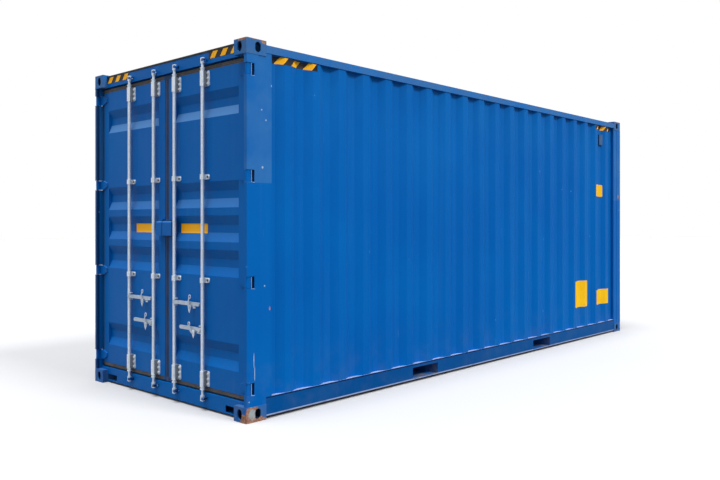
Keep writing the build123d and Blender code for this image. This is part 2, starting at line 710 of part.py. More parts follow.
with BuildPart() as cam_keepers:
    throat = CAM_THICK / 2 + THROAT_GAP
    cheek = CAM_RADIUS + KEEPER_GAP
    for face, low in ((HEADER_FACE, BAR_TOP - CAM_HEIGHT), (SILL_FACE, BAR_BOTTOM)):
        z = (low + (CAM_HEIGHT - KEEPER_HEIGHT) / 2, low + (CAM_HEIGHT + KEEPER_HEIGHT) / 2)
        for y in BAR_CENTRES:
            edge = y - cheek - KEEPER_PLATE
            block((deep(KEEPER_FRONT), deep(face)), (y - cheek, edge), z)
            block((deep(KEEPER_FRONT), deep(KEEPER_FRONT + KEEPER_LIP)), (y - throat, edge), z)

with BuildPart() as front_rails:
    reach = SIDE - CASTING_WIDTH
    rail_x = (END - SIDE_SETBACK - TOP_RAIL, END - SIDE_SETBACK)
    for low, high in ((TOP_RAIL_BOTTOM, TOP_RAIL_TOP), (SILL_BOTTOM, FLOOR_TOP)):
        block(rail_x, (-reach, reach), (low, high))
        block(
            (rail_x[0] + PLATE, rail_x[1] - PLATE),
            (-reach, reach),
            (low + PLATE, high - PLATE),
            mode=Mode.SUBTRACT,
        )

with BuildPart() as top_side_rails:
    rail_x = (deep(CASTING_LENGTH), -deep(CASTING_LENGTH))
    for side in (LEFT, RIGHT):
        across = (inset(SIDE_SETBACK, side), inset(SIDE_SETBACK + TOP_RAIL, side))
        hollow = (across[0] - side * PLATE, across[1] + side * PLATE)
        block(rail_x, across, (TOP_RAIL_BOTTOM, TOP_RAIL_TOP))
        block(rail_x, hollow, (TOP_RAIL_BOTTOM + PLATE, TOP_RAIL_TOP - PLATE), mode=Mode.SUBTRACT)

with BuildPart() as bottom_side_rails:
    rail_x = (deep(RAIL_START), END - CASTING_LENGTH)
    opening = POCKET_WIDTH / 2 - POCKET_WALL
    for side in (LEFT, RIGHT):
        web = (inset(RAIL_FACE, side), inset(RAIL_FACE + PLATE, side))
        flange = (inset(RAIL_FACE, side), inset(RAIL_FACE + RAIL_FLANGE, side))
        block(rail_x, web, (RAIL_BOTTOM, RAIL_TOP))
        block(rail_x, flange, (RAIL_TOP - PLATE, RAIL_TOP))
        block(rail_x, flange, (RAIL_BOTTOM, RAIL_BOTTOM + PLATE))
        for middle in (-POCKET_CENTRES / 2, POCKET_CENTRES / 2):
            block(
                (middle - opening, middle + opening),
                web,
                (RAIL_BOTTOM + PLATE, FLOOR_BOTTOM - POCKET_WALL),
                mode=Mode.SUBTRACT,
            )

with BuildPart() as cross_members:
    first = deep(POST_DEPTH)
    last = END - SIDE_SETBACK - TOP_RAIL
    bays = ceil((last - first) / MEMBER_SPACING)
    reach = SIDE - RAIL_FACE - PLATE
    low = RAIL_BOTTOM + PLATE + MEMBER_GAP
    for count in range(1, bays):
        x = first + (last - first) * count / bays
        from_pocket = min(abs(x - POCKET_CENTRES / 2), abs(x + POCKET_CENTRES / 2))
        if from_pocket > POCKET_WIDTH / 2 + MEMBER_FLANGE:
            block((x, x + PLATE), (-reach, reach), (low, FLOOR_BOTTOM))
            block((x, x + MEMBER_FLANGE), (-reach, reach), (FLOOR_BOTTOM - PLATE, FLOOR_BOTTOM))
            block((x, x + MEMBER_FLANGE), (-reach, reach), (low, low + PLATE))

with BuildPart() as forklift_pockets:
    reach = SIDE - RAIL_FACE - PLATE
    low = RAIL_BOTTOM + PLATE
    for middle in (-POCKET_CENTRES / 2, POCKET_CENTRES / 2):
        outer = (middle - POCKET_WIDTH / 2, middle + POCKET_WIDTH / 2)
        inner = (outer[0] + POCKET_WALL, outer[1] - POCKET_WALL)
        block(outer, (-reach, reach), (low, FLOOR_BOTTOM))
        block(inner, (-reach, reach), (low + POCKET_WALL, FLOOR_BOTTOM - POCKET_WALL), mode=Mode.SUBTRACT)

with BuildPart() as floor_panels:
    reach = SIDE - RAIL_FACE - RAIL_FLANGE
    floor_x = (deep(POST_DEPTH), END - SIDE_SETBACK - TOP_RAIL)
    block(floor_x, (-reach, reach), (FLOOR_BOTTOM, FLOOR_TOP))

with BuildPart() as side_walls:
    far_end = LENGTH - FRONT_FLANGE
    folds = [(POST_FLANGE, RIB_DEPTH)]
    for count in range(RIB_COUNT):
        base = RIB_START + count * RIB_PITCH
        folds.append((base, RIB_DEPTH))
        folds.append((base + RIB_SLOPE, 0))
        folds.append((base + RIB_SLOPE + RIB_OUTER, 0))
        folds.append((base + 2 * RIB_SLOPE + RIB_OUTER, RIB_DEPTH))
    folds.append((far_end, RIB_DEPTH))
    for side in (LEFT, RIGHT):
        outer = [(deep(along), inset(WALL_FACE + depth, side)) for along, depth in folds]
        inner = [(x, y - side * SHEET) for x, y in reversed(outer)]
        with BuildSketch(Plane.XY.offset(RAIL_TOP)):
            Polygon(*outer, *inner, align=None)
        extrude(amount=TOP_RAIL_BOTTOM - RAIL_TOP)
        lap = (inset(FLANGE_FACE + POST_WALL, side), inset(WALL_FACE + RIB_DEPTH + SHEET, side))
        block((deep(POST_FLANGE), deep(POST_FLANGE - SHEET)), lap, (RAIL_TOP, TOP_RAIL_BOTTOM))
        block((deep(far_end), deep(far_end + SHEET)), lap, (RAIL_TOP, TOP_RAIL_BOTTOM))

with BuildPart() as front_wall:
    half = SIDE - CASTING_WIDTH
    pitch = 2 * (FRONT_RIB_FLAT + FRONT_RIB_SLOPE)
    ribs = int((2 * half) // pitch)
    start = -ribs * pitch / 2 + FRONT_RIB_FLAT / 2
    folds = [(-half, FRONT_WALL_FACE)]
    for count in range(ribs):
        base = start + count * pitch
        folds.append((base, FRONT_WALL_FACE))
        folds.append((base + FRONT_RIB_SLOPE, FRONT_WALL_FACE + FRONT_RIB_DEPTH))
        folds.append((base + FRONT_RIB_SLOPE + FRONT_RIB_FLAT, FRONT_WALL_FACE + FRONT_RIB_DEPTH))
        folds.append((base + 2 * FRONT_RIB_SLOPE + FRONT_RIB_FLAT, FRONT_WALL_FACE))
    folds.append((half, FRONT_WALL_FACE))
    outer = [(END - depth, y) for y, depth in folds]
    inner = [(x - SHEET, y) for x, y in reversed(outer)]
    with BuildSketch(Plane.XY.offset(FLOOR_TOP)):
        Polygon(*outer, *inner, align=None)
    extrude(amount=TOP_RAIL_BOTTOM - FLOOR_TOP)

with BuildPart() as roof_panel:
    roof_x = (deep(POST_DEPTH - PLATE), END - SIDE_SETBACK - TOP_RAIL / 2)
    half = SIDE - SIDE_SETBACK - TOP_RAIL / 2
    block(roof_x, (-half, half), (TOP_RAIL_TOP, TOP_RAIL_TOP + SHEET))
    ribs = int((roof_x[1] - roof_x[0] - 2 * CASTING_LENGTH) // ROOF_RIB_PITCH)
    rib_length = 2 * half - CASTING_WIDTH
    for low, mode in ((TOP_RAIL_TOP + SHEET, Mode.ADD), (TOP_RAIL_TOP, Mode.SUBTRACT)):
        for count in range(ribs):
            x = (roof_x[0] + roof_x[1]) / 2 + (count - (ribs - 1) / 2) * ROOF_RIB_PITCH
            with Locations((x, 0, low)):
                Wedge(
                    ROOF_RIB_FOOT,
                    ROOF_RIB_DEPTH,
                    rib_length,
                    ROOF_RIB_SLOPE,
                    ROOF_RIB_SLOPE,
                    ROOF_RIB_FOOT - ROOF_RIB_SLOPE,
                    rib_length - ROOF_RIB_SLOPE,
                    rotation=(90, 0, 0),
                    align=(Align.CENTER, Align.MIN, Align.CENTER),
                    mode=mode,
                )
    for side in (LEFT, RIGHT):
        for x in ((-END, deep(CASTING_LENGTH)), (END - CASTING_LENGTH, END)):
            corner = (inset(0, side), inset(CASTING_WIDTH, side))
            block(x, corner, (TOP_CASTING, HEIGHT), mode=Mode.SUBTRACT)

with BuildPart() as ventilators:
    vent_top = TOP_RAIL_BOTTOM - VENT_DROP
    last_valley = RIB_START + (RIB_COUNT - 1) * RIB_PITCH - RIB_INNER / 2
    first_valley = RIB_START + RIB_PITCH - RIB_INNER / 2
    for side, along in ((RIGHT, last_valley), (LEFT, first_valley)):
        back = inset(WALL_FACE + RIB_DEPTH, side)
        front = inset(WALL_FACE + RIB_DEPTH - VENT_DEPTH, side)
        hood = [
            (deep(along - VENT_BACK / 2), back),
            (deep(along - VENT_FRONT / 2), front),
            (deep(along + VENT_FRONT / 2), front),
            (deep(along + VENT_BACK / 2), back),
        ]
        with BuildSketch(Plane.XY.offset(vent_top - VENT_HEIGHT)):
            Polygon(*hood, align=None)
        extrude(amount=VENT_HEIGHT)

pieces = {
    "corner_castings": corner_castings,
    "door_posts": door_posts,
    "hinge_pins": hinge_pins,
    "front_posts": front_posts,
    "door_header": door_header,
    "door_sill": door_sill,
    "cam_keepers": cam_keepers,
    "front_rails": front_rails,
    "top_side_rails": top_side_rails,
    "bottom_side_rails": bottom_side_rails,
    "cross_members": cross_members,
    "forklift_pockets": forklift_pockets,
    "floor_panels": floor_panels,
    "side_walls": side_walls,
    "front_wall": front_wall,
    "roof_panel": roof_panel,
    "ventilators": ventilators,
    "left_lock_box": lock_box(LEFT, BOX_LEFT),
    "right_lock_box": lock_box(RIGHT, BOX_RIGHT),
}
for name, side in (("left", LEFT), ("right", RIGHT)):
    bars = [number for number, centre in enumerate(BAR_CENTRES) if centre * side > 0]
    pieces[f"{name}_door_frame"] = door_frame(side)
    pieces[f"{name}_door_panel"] = door_panel(side)
    pieces[f"{name}_door_gasket"] = door_gasket(side)
    pieces[f"{name}_hinge_blades"] = hinge_blades(side)
    pieces[f"{name}_bar_brackets"] = bar_brackets([BAR_CENTRES[bar] for bar in bars])
    pieces[f"{name}_handle_catches"] = handle_catches(bars)
for number in range(len(BAR_CENTRES)):
    pieces[f"lock_bar_{number + 1}"] = lock_bar(number)
    pieces[f"handle_{number + 1}"] = handle(number)
    pieces[f"latch_{number + 1}"] = latch(number)
for name, piece in pieces.items():
    export(piece.part, name)
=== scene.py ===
"""Looks of the shipping container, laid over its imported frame."""
import math
import random

import bmesh
import bpy
from mathutils import Matrix, Vector


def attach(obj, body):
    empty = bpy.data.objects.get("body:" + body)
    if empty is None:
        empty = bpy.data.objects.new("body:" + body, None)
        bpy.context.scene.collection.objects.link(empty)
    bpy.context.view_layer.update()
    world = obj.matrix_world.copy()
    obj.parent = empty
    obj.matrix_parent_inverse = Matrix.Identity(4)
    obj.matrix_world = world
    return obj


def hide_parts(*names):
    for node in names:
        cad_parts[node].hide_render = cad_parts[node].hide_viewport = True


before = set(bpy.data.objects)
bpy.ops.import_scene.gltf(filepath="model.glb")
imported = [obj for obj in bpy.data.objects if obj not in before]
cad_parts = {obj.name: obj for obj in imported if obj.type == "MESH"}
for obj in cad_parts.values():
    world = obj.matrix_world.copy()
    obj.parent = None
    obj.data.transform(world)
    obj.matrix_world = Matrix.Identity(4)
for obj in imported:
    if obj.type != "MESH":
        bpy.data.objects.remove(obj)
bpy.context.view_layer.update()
random.seed(7)

# Places in metres, as in the CAD source
END = 3.029
SIDE = 1.219
HEIGHT = 2.896
CASTING = (0.178, 0.162, 0.118)
WALL_TOP = 2.806
RAIL_TOP = 0.172
HEADER_FACE = 0.042
SILL_FACE = 0.046
LEAF_FACE = 0.052
LEAF_BOTTOM = 0.186
LEAF_TOP = 2.731
LEAF_SEAM = 0.033
LEAF_HINGE = 1.135
LEAF_MIDDLE = 1.4585
BARS = [0.594, 0.169, -0.169, -0.594]
GUIDES = [1.0435, 1.8735]
HANDLES = [0.8455, 0.6455, 0.8455, 0.6455]
WAYS = [-1, 1, -1, 1]
REACHES = [0.256, 0.110, 0.256, 0.110]
HINGES = [0.253, 1.0567, 1.8603, 2.664]

# Forged latches: how far each leans, in degrees, and the stem and ring as seen from the bolt they turn on
LATCH_LEANS = [0, 0, 0, -46]
LATCH_DEEP = 0.0026
STEM = [
    (0, 0, -0.012),
    (0, 0.002, 0.004),
    (0, 0.010, 0.024),
    (0, 0.013, 0.044),
    (0, 0.007, 0.062),
    (0, -0.002, 0.078),
]
STEM_WIDTHS = [0.0040, 0.0105, 0.0105, 0.0090, 0.0080, 0.0070]
RING_CENTRE = (0, -0.010, 0.092)
RING_RADIUS = 0.0135
RING_WIDTH = 0.0052
RING_STEPS = 28
LATCH_THICK = 0.0019
RING_THICK = 0.0020
CATCH_DROP = 0.034
CURVE_STEPS = 6

# Cheeks of the handle hubs: along the handle, above or below its middle, and in depth
CHEEK_ALONG = (0.006, 0.040)
CHEEK_RISE = (0.0205, 0.034)
CHEEK_DEPTHS = (0.0085, 0.034)
CHEEK_BEVEL = 0.0055

# Corrugated side sheet, seen along the length: where the ribs start and where each one turns
RIB_START = 0.290
RIB_PITCH = 0.278
RIB_COUNT = 20
RIB_TURNS = (0.068, 0.140, 0.208)
RIB_HEIGHT = 0.036
WALL_DEEP = 0.045
WALL_SHALLOW = 0.009
WALL_EDGES = (0.230, 5.868)

# Recess of a door sheet: its depth, half its flat and the height of a slope
RECESS_DEEP = 0.026
RECESS_FLAT = 0.032
RECESS_SLOPE = 0.073

# Brackets of the lock bars; a bolt has a radius, a height and the radius of its washer
BAR_DEEP = 0.022
FOOT_FACE = LEAF_FACE - 0.006
FOOT_ASIDE = 0.040
BEARING_MIDDLE = 0.068
BOLT_PITCH = 0.041
RIM_RADIUS = 0.0202
BEARING_BOLT = (0.010, 0.009, 0.0135)
GUIDE_BOLT = (0.0085, 0.006, 0.0100)
GUIDE_WASHER = (0.0155, 0.003)
RIM_BEAD = 0.0015
OUTWARD = (-1, 0, 0)

# Door seals: how far out each lip lies and its radius
SEAL_LIPS = ((0.012, 0.0032), (0.024, 0.0026))
SEAL_WIDTH = 0.024
SEAL_OVERLAP = 0.012

# Bare films on the doors, and warning bands with the width, spacing and lean of their stripes
DOOR_FILM = (1.4205, 1.4985)
SIDE_BAND = (2.744, 2.801)
HEADER_BAND = (2.8125, 2.8705)
BAND_MARGIN = 0.0015
BAND_END = 1.0562
STRIPES = 3
STRIPE = 0.068
STRIPE_PITCH = 0.141
STRIPE_LEAN = 0.045
STRIPE_LIFT = 0.0011

# Weld beads
WELD_SIDES = 6
WELD_STEP = 0.005
WELD_RIPPLE = 0.35


def deep(distance):
    """X at a distance behind the plane of the door end."""
    return distance - END


def show(made):
    """Puts an object into the scene."""
    bpy.context.scene.collection.objects.link(made)


# Camera, fitted to the photo
camera = bpy.data.objects.new("camera", bpy.data.cameras.new("camera"))
camera.location = (-6.26493, -5.91656, 1.50877)
camera.rotation_euler = (math.radians(90), 0, math.radians(-51.583))
camera.data.sensor_width = 36
camera.data.lens = 36.54
camera.data.shift_x = -0.1530
camera.data.shift_y = -0.02454
show(camera)
bpy.context.scene.camera = camera
bpy.context.scene.view_settings.view_transform = "Standard"


class Shader:
    """One procedural material: a principled surface and short calls for the nodes that feed it."""

    def __init__(self, name):
        self.material = bpy.data.materials.new(name)
        self.material.use_nodes = True
        self.tree = self.material.node_tree
        self.tree.nodes.clear()
        output = self.tree.nodes.new("ShaderNodeOutputMaterial")
        self.surface = self.tree.nodes.new("ShaderNodeBsdfPrincipled")
        self.tree.links.new(self.surface.outputs["BSDF"], output.inputs["Surface"])
        self.place = self.tree.nodes.new("ShaderNodeTexCoord").outputs["Object"]
        split = self.tree.nodes.new("ShaderNodeSeparateXYZ")
        self.tree.links.new(self.place, split.inputs[0])
        self.x, self.y, self.z = split.outputs
        facing = self.tree.nodes.new("ShaderNodeSeparateXYZ")
        geometry = self.tree.nodes.new("ShaderNodeNewGeometry")
        self.tree.links.new(geometry.outputs["Normal"], facing.inputs[0])
        self.upward = facing.outputs["Z"]

    def feed(self, socket, value):
        """Links a socket to another one, or sets it to a constant."""
        if isinstance(value, bpy.types.NodeSocket):
            self.tree.links.new(value, socket)
        else:
            socket.default_value = value

    def math(self, operation, first, second=0.0):
        """Result of one calculation."""
        node = self.tree.nodes.new("ShaderNodeMath")
        node.operation = operation
        self.feed(node.inputs[0], first)
        self.feed(node.inputs[1], second)
        return node.outputs[0]

    def times(self, first, second):
        """Product of two values."""
        return self.math("MULTIPLY", first, second)

    def ramp(self, value, low, high):
        """Smooth step from 0 at low to 1 at high."""
        node = self.tree.nodes.new("ShaderNodeMapRange")
        node.interpolation_type = "SMOOTHSTEP"
        flip = low > high
        self.feed(node.inputs["Value"], value)
        node.inputs["From Min"].default_value = min(low, high)
        node.inputs["From Max"].default_value = max(low, high)
        node.inputs["To Min"].default_value = 1.0 if flip else 0.0
        node.inputs["To Max"].default_value = 0.0 if flip else 1.0
        return node.outputs["Result"]

    def stretched(self, x, y, z):
        """Place with its own scale on each axis."""
        node = self.tree.nodes.new("ShaderNodeMapping")
        self.tree.links.new(self.place, node.inputs["Vector"])
        node.inputs["Scale"].default_value = (x, y, z)
        return node.outputs["Vector"]

    def noise(self, scale, detail=4.0, roughness=0.55, vector=None):
        """Cloudy pattern from 0 to 1."""
        node = self.tree.nodes.new("ShaderNodeTexNoise")
        self.tree.links.new(vector or self.place, node.inputs["Vector"])
        node.inputs["Scale"].default_value = scale
        node.inputs["Detail"].default_value = detail
        node.inputs["Roughness"].default_value = roughness
        return node.outputs["Fac"]

    def cells(self, scale):
        """Distance to the nearest of scattered points, and a random number for each point."""
        node = self.tree.nodes.new("ShaderNodeTexVoronoi")
        self.tree.links.new(self.place, node.inputs["Vector"])
        node.inputs["Scale"].default_value = scale
        split = self.tree.nodes.new("ShaderNodeSeparateColor")
        self.tree.links.new(node.outputs["Color"], split.inputs[0])
        return node.outputs["Distance"], split.outputs[0]

    def near(self, centre, radii, ragged):
        """1 inside an ellipsoid and 0 outside it, with an edge broken up by a noise."""
        offset = self.tree.nodes.new("ShaderNodeVectorMath")
        offset.operation = "SUBTRACT"
        self.tree.links.new(self.place, offset.inputs[0])
        offset.inputs[1].default_value = centre
        shrink = self.tree.nodes.new("ShaderNodeVectorMath")
        shrink.operation = "DIVIDE"
        self.tree.links.new(offset.outputs[0], shrink.inputs[0])
        shrink.inputs[1].default_value = radii
        length = self.tree.nodes.new("ShaderNodeVectorMath")
        length.operation = "LENGTH"
        self.tree.links.new(shrink.outputs[0], length.inputs[0])
        edge = self.math("ADD", length.outputs["Value"], self.times(ragged, 1.4))
        return self.ramp(edge, 1.75, 1.6)

    def mix(self, factor, first, second):
        """Blend of two colours."""
        node = self.tree.nodes.new("ShaderNodeMix")
        node.data_type = "RGBA"
        self.feed(node.inputs["Factor"], factor)
        self.feed(node.inputs["A"], first)
        self.feed(node.inputs["B"], second)
        return node.outputs["Result"]

    def bump(self, height, strength, distance, normal=None):
        """Normal of a rough surface, on top of another one if given."""
        node = self.tree.nodes.new("ShaderNodeBump")
        node.inputs["Strength"].default_value = strength
        node.inputs["Distance"].default_value = distance
        self.tree.links.new(height, node.inputs["Height"])
        if normal:
            self.tree.links.new(normal, node.inputs["Normal"])
        return node.outputs["Normal"]

    def finish(self, colour, roughness, normal, **constants):
        """Feeds the surface and returns the material."""
        self.feed(self.surface.inputs["Base Color"], colour)
        self.feed(self.surface.inputs["Roughness"], roughness)
        self.feed(self.surface.inputs["Normal"], normal)
        for name, value in constants.items():
            self.surface.inputs[name.replace("_", " ")].default_value = value
        return self.material


BLUE = (0.000, 0.103, 0.392, 1)
BLUE_SOFT = (0.000, 0.118, 0.420, 1)
FADED = (0.010, 0.155, 0.445, 1)
WEATHERED = (0.040, 0.165, 0.415, 1)
# Chalky pale blue of chips, scuffs and washed streaks, also used as painted sheen on up-facing ledges
CHALK_AND_SHEEN = (0.12, 0.27, 0.50, 1)
# Pale bare metal of scratches and rubbed spots, also used as a painted highlight on the hinge slot rims
BARE_AND_HIGHLIGHT = (0.42, 0.52, 0.60, 1)
LIP_HIGHLIGHT = (0.36, 0.42, 0.62, 1)
DULL = (0.075, 0.135, 0.235, 1)
# Near-black blue used for painted shade: beside the hinges, under the rail lips, inside the castings and
# on the keepers
PAINTED_SHADE = (0.002, 0.012, 0.040, 1)
DUST = (0.20, 0.19, 0.18, 1)
PRIMER = (0.30, 0.39, 0.43, 1)
RUST = (0.22, 0.085, 0.035, 1)
RUST_PALE = (0.46, 0.25, 0.14, 1)
OVERSPRAY = (0.004, 0.070, 0.245, 1)
ZINC_BLOOM = (0.74, 0.77, 0.79, 1)
ZINC_RUNS = (0.30, 0.33, 0.36, 1)
ZINC_DIRT = (0.22, 0.14, 0.09, 1)
ZINC_GROOVE_SHADE = (0.045, 0.060, 0.085, 1)
RUBBER_RUNS = (0.085, 0.062, 0.045, 1)
SEAM_SHADE = (0.010, 0.018, 0.034, 1)
HINGE_GAP_SHADE = (0.006, 0.010, 0.018, 1)
WOOD_DARK = (0.20, 0.105, 0.048, 1)
WOOD_PALE = (0.40, 0.245, 0.125, 1)
WOOD_BOARD = (0.26, 0.16, 0.085, 1)
WOOD_SEAM = (0.03, 0.02, 0.012, 1)
WOOD_SCUFF = (0.12, 0.10, 0.085, 1)
BOARD_LENGTH = 2.4
BOARD_WIDTH = 0.388
FILM_DIRT = (0.16, 0.10, 0.05, 1)
FILM_WORN = (0.05, 0.09, 0.16, 1)


def painted(
    name,
    tint=1.0,
    chips=0.90,
    grime=0.10,
    fade=0.35,
    dents=0.5,
    edge_wear=0.0,
    patches=(),
    primer=(),
    scratches_and_highlights=(),
    repaint=None,
    dust=0.0,
    ledge_sheen=0.0,
    hinge_shade=0.0,
    rail_lip_light_and_shade=False,
    hollow_shade=False,
):
    """Blue paint that has faded, been washed down in streaks, chipped and rusted in places, with painted
    shade, sheen and highlights where asked.
    """
    s = Shader(name)
    ragged = s.noise(34, 6, 0.65)
    deep_blue, soft_blue = ((*(tint * value for value in shade[:3]), 1) for shade in (BLUE, BLUE_SOFT))
    colour = s.mix(s.ramp(s.noise(0.8, 6), 0.36, 0.68), deep_blue, soft_blue)
    bleached = s.times(s.ramp(s.z, 1.3, 3.0), s.ramp(s.noise(1.7, 5), 0.2, 0.8))
    colour = s.mix(s.times(bleached, fade), colour, FADED)
    if repaint:
        weathered = s.times(s.ramp(s.z, repaint, repaint + 0.004), s.ramp(s.noise(2.6, 5), 0.15, 0.75))
        colour = s.mix(s.times(weathered, 0.75), colour, WEATHERED)
    washed = s.ramp(s.noise(1.0, 6, vector=s.stretched(15, 15, 0.4)), 0.52, 0.74)
    colour = s.mix(s.times(washed, 0.03), colour, CHALK_AND_SHEEN)
    low = s.times(s.ramp(s.z, 0.62, 0.02), s.ramp(s.noise(5.5, 7, 0.65), 0.42, 0.72))
    colour = s.mix(s.times(low, grime), colour, DUST)
    colour = s.mix(s.times(s.ramp(s.noise(6, 6, 0.6), 0.25, 0.70), dust), colour, DULL)
    if ledge_sheen:
        # Painted sheen: up-facing ledges and slopes paler, as if lit by the sky
        up_facing = s.times(s.ramp(s.upward, 0.15, 0.33), s.ramp(s.z, 0.9, 2.5))
        colour = s.mix(s.times(up_facing, ledge_sheen), colour, CHALK_AND_SHEEN)
    if hinge_shade:
        # Painted shade: darker beside the hinges on the left door post, where its face stands back in
        # shade
        beside = s.times(s.ramp(s.y, 1.208, 1.198), s.ramp(s.y, 1.00, 1.05))
        beside = s.times(beside, s.ramp(s.x, deep(0.030), deep(0.024)))
        colour = s.mix(s.times(beside, hinge_shade), colour, PAINTED_SHADE)
    if rail_lip_light_and_shade:
        # Painted light and shade of the rail's flange lips: a painted shadow under the top lip, and a
        # painted highlight, broken up by a noise, on the lit tops of the lips
        under_lip_shadow = s.times(s.ramp(s.z, 0.157, 0.160), s.ramp(s.z, 0.1690, 0.1675))
        colour = s.mix(s.times(under_lip_shadow, 0.9), colour, PAINTED_SHADE)
        on_lips = s.math("MAXIMUM", s.ramp(s.upward, 0.7, 0.9), s.ramp(s.z, 0.037, 0.034))
        lit_lips = s.times(on_lips, s.ramp(s.noise(9, 5, 0.6), 0.15, 0.50))
        colour = s.mix(s.times(lit_lips, 0.8), colour, LIP_HIGHLIGHT)
    scuffs = s.ramp(s.noise(1.0, 5, 0.6, s.stretched(60, 60, 2.6)), 0.70, 0.76)
    colour = s.mix(s.times(scuffs, 0.35), colour, CHALK_AND_SHEEN)
    distance, pick = s.cells(8.0)
    chip_size = s.math("ADD", distance, s.times(ragged, 0.10))
    chipped = s.times(s.ramp(chip_size, 0.125, 0.105), s.ramp(pick, chips, chips + 0.01))
    colour = s.mix(s.times(chipped, 0.75), colour, CHALK_AND_SHEEN)
    rusted = s.times(s.ramp(chip_size, 0.092, 0.080), s.ramp(pick, chips + 0.05, chips + 0.06))
    for centre, radii in patches:
        rusted = s.math("MAXIMUM", rusted, s.near(centre, radii, ragged))
    if edge_wear:
        across = s.ramp(s.math("ABSOLUTE", s.x), END - 0.009, END - 0.001)
        along = s.ramp(s.math("ABSOLUTE", s.y), SIDE - 0.009, SIDE - 0.001)
        from_middle = s.math("ABSOLUTE", s.math("SUBTRACT", s.z, HEIGHT / 2))
        up = s.ramp(from_middle, HEIGHT / 2 - 0.009, HEIGHT / 2 - 0.001)
        level_edges = s.math("MAXIMUM", s.times(across, up), s.times(along, up))
        edges = s.math("MAXIMUM", s.times(across, along), level_edges)
        eased = 0.2 * edge_wear
        worn = s.times(edges, s.ramp(s.noise(11, 6, 0.65), 0.62 - eased, 0.68 - eased))
        rusted = s.math("MAXIMUM", rusted, worn)
    rust = s.mix(s.ramp(s.noise(60, 5, 0.7), 0.35, 0.65), RUST, RUST_PALE)
    colour = s.mix(s.times(rusted, 0.9), colour, rust)
    if hollow_shade:
        # Painted shade inside the holes of the castings, growing darker deeper in
        rise = s.math("SUBTRACT", s.z, HEIGHT / 2)
        inside = 1.0
        for place, outer, size in zip((s.x, s.y, rise), (END, SIDE, HEIGHT / 2), CASTING):
            out = s.math("ABSOLUTE", place)
            inside = s.times(inside, s.ramp(out, outer - 0.006, outer - 0.014))
            inside = s.times(inside, s.ramp(out, outer - size + 0.008, outer - size + 0.014))
        colour = s.mix(s.times(inside, 0.9), colour, PAINTED_SHADE)
    for centre, radii in scratches_and_highlights:
        colour = s.mix(s.times(s.near(centre, radii, ragged), 0.75), colour, BARE_AND_HIGHLIGHT)
    if primer:
        broken = s.ramp(s.noise(1.0, 6, 0.7, s.stretched(75, 75, 40)), 0.34, 0.56)
    for centre, radii in primer:
        colour = s.mix(s.times(s.near(centre, radii, ragged), s.times(broken, 0.9)), colour, PRIMER)
    rough = s.math("ADD", s.times(s.noise(3.0, 5), 0.22), s.math("ADD", 0.34, s.times(rusted, 0.35)))
    normal = s.bump(s.noise(2.1, 3), dents, 0.012)
    normal = s.bump(s.noise(240, 2), 0.10, 0.0006, normal)
    raised = s.math("SUBTRACT", s.times(rusted, ragged), s.times(chipped, 0.4))
    normal = s.bump(raised, 0.35, 0.0012, normal)
    return s.finish(colour, rough, normal, Specular_IOR_Level=0.05)


REPAINTED_UP_TO = 1.807
wall_paint = painted("wall_paint", dents=0.35)
# painted sky sheen on the up-facing slopes of the doors
door_paint = painted("door_paint", chips=0.93, grime=0.06, fade=0.15, dents=0.12, ledge_sheen=0.55)
vent_paint = painted("vent_paint", tint=0.55, fade=0.0, dents=0.05, dust=0.85)
rail_paint = painted(
    "rail_paint",
    tint=0.62,
    chips=0.86,
    grime=0.08,
    fade=0.0,
    dents=0.05,
    # painted shadow and highlight of the rail's flange lips
    rail_lip_light_and_shade=True,
)
top_rail_paint = painted(
    "top_rail_paint",
    tint=1.15,
    chips=0.86,
    fade=0.6,
    dents=0.05,
    repaint=REPAINTED_UP_TO,
    dust=0.35,
)
frame_paint = painted(
    "frame_paint",
    chips=0.80,
    fade=0.25,
    dents=0.05,
    repaint=REPAINTED_UP_TO,
    # painted shade beside the hinges of the left door post
    hinge_shade=0.75,
    patches=[
        ((-2.817, -1.217, 0.846), (0.006, 0.05, 0.020)),
        ((2.966, -1.217, 1.861), (0.016, 0.03, 0.030)),
    ],
    scratches_and_highlights=[
        ((-2.890, -1.217, 2.366), (0.007, 0.05, 0.008)),
        ((-2.852, -1.217, 2.290), (0.006, 0.05, 0.007)),
        ((-2.883, -1.217, 1.928), (0.008, 0.05, 0.009)),
        ((-2.800, -1.217, 2.560), (0.006, 0.05, 0.010)),
        ((-2.864, -1.217, 1.023), (0.007, 0.05, 0.007)),
        ((-3.004, -1.217, 0.160), (0.006, 0.05, 0.006)),
        ((-2.955, -1.217, 0.366), (0.003, 0.05, 0.055)),
        ((-2.962, -1.217, 0.470), (0.003, 0.05, 0.060)),
    ],
)
# Lighter paint of weld beads: painted highlight of their lit edges, with chips
lit_and_worn_edges = painted("lit_and_worn_edges", tint=1.2, chips=0.70, fade=0.0, dents=0.05, dust=0.5)
# Pale paint of the hinge slot rims: a painted highlight, its one big scratch paling the whole rim
pale_edges = painted(
    "pale_edges",
    tint=1.35,
    chips=0.70,
    fade=0.0,
    dents=0.05,
    scratches_and_highlights=[((-3, 0, 1.4), (1, 4, 4))],
)
casting_paint = painted(
    "casting_paint",
    chips=0.84,
    fade=0.80,
    dents=0.08,
    edge_wear=0.45,
    dust=0.75,
    # painted shade inside the casting holes
    hollow_shade=True,
    patches=[
        ((-2.985, -1.219, 0.058), (0.062, 0.02, 0.070)),
        ((-2.945, -1.219, 0.000), (0.095, 0.03, 0.034)),
        ((-3.029, -1.185, 0.018), (0.030, 0.045, 0.052)),
        ((-2.869, -1.219, 2.890), (0.030, 0.03, 0.022)),
        ((-3.029, -1.160, 2.893), (0.03, 0.06, 0.016)),
    ],
    primer=[((-2.978, -1.219, 0.062), (0.030, 0.02, 0.042))],
)


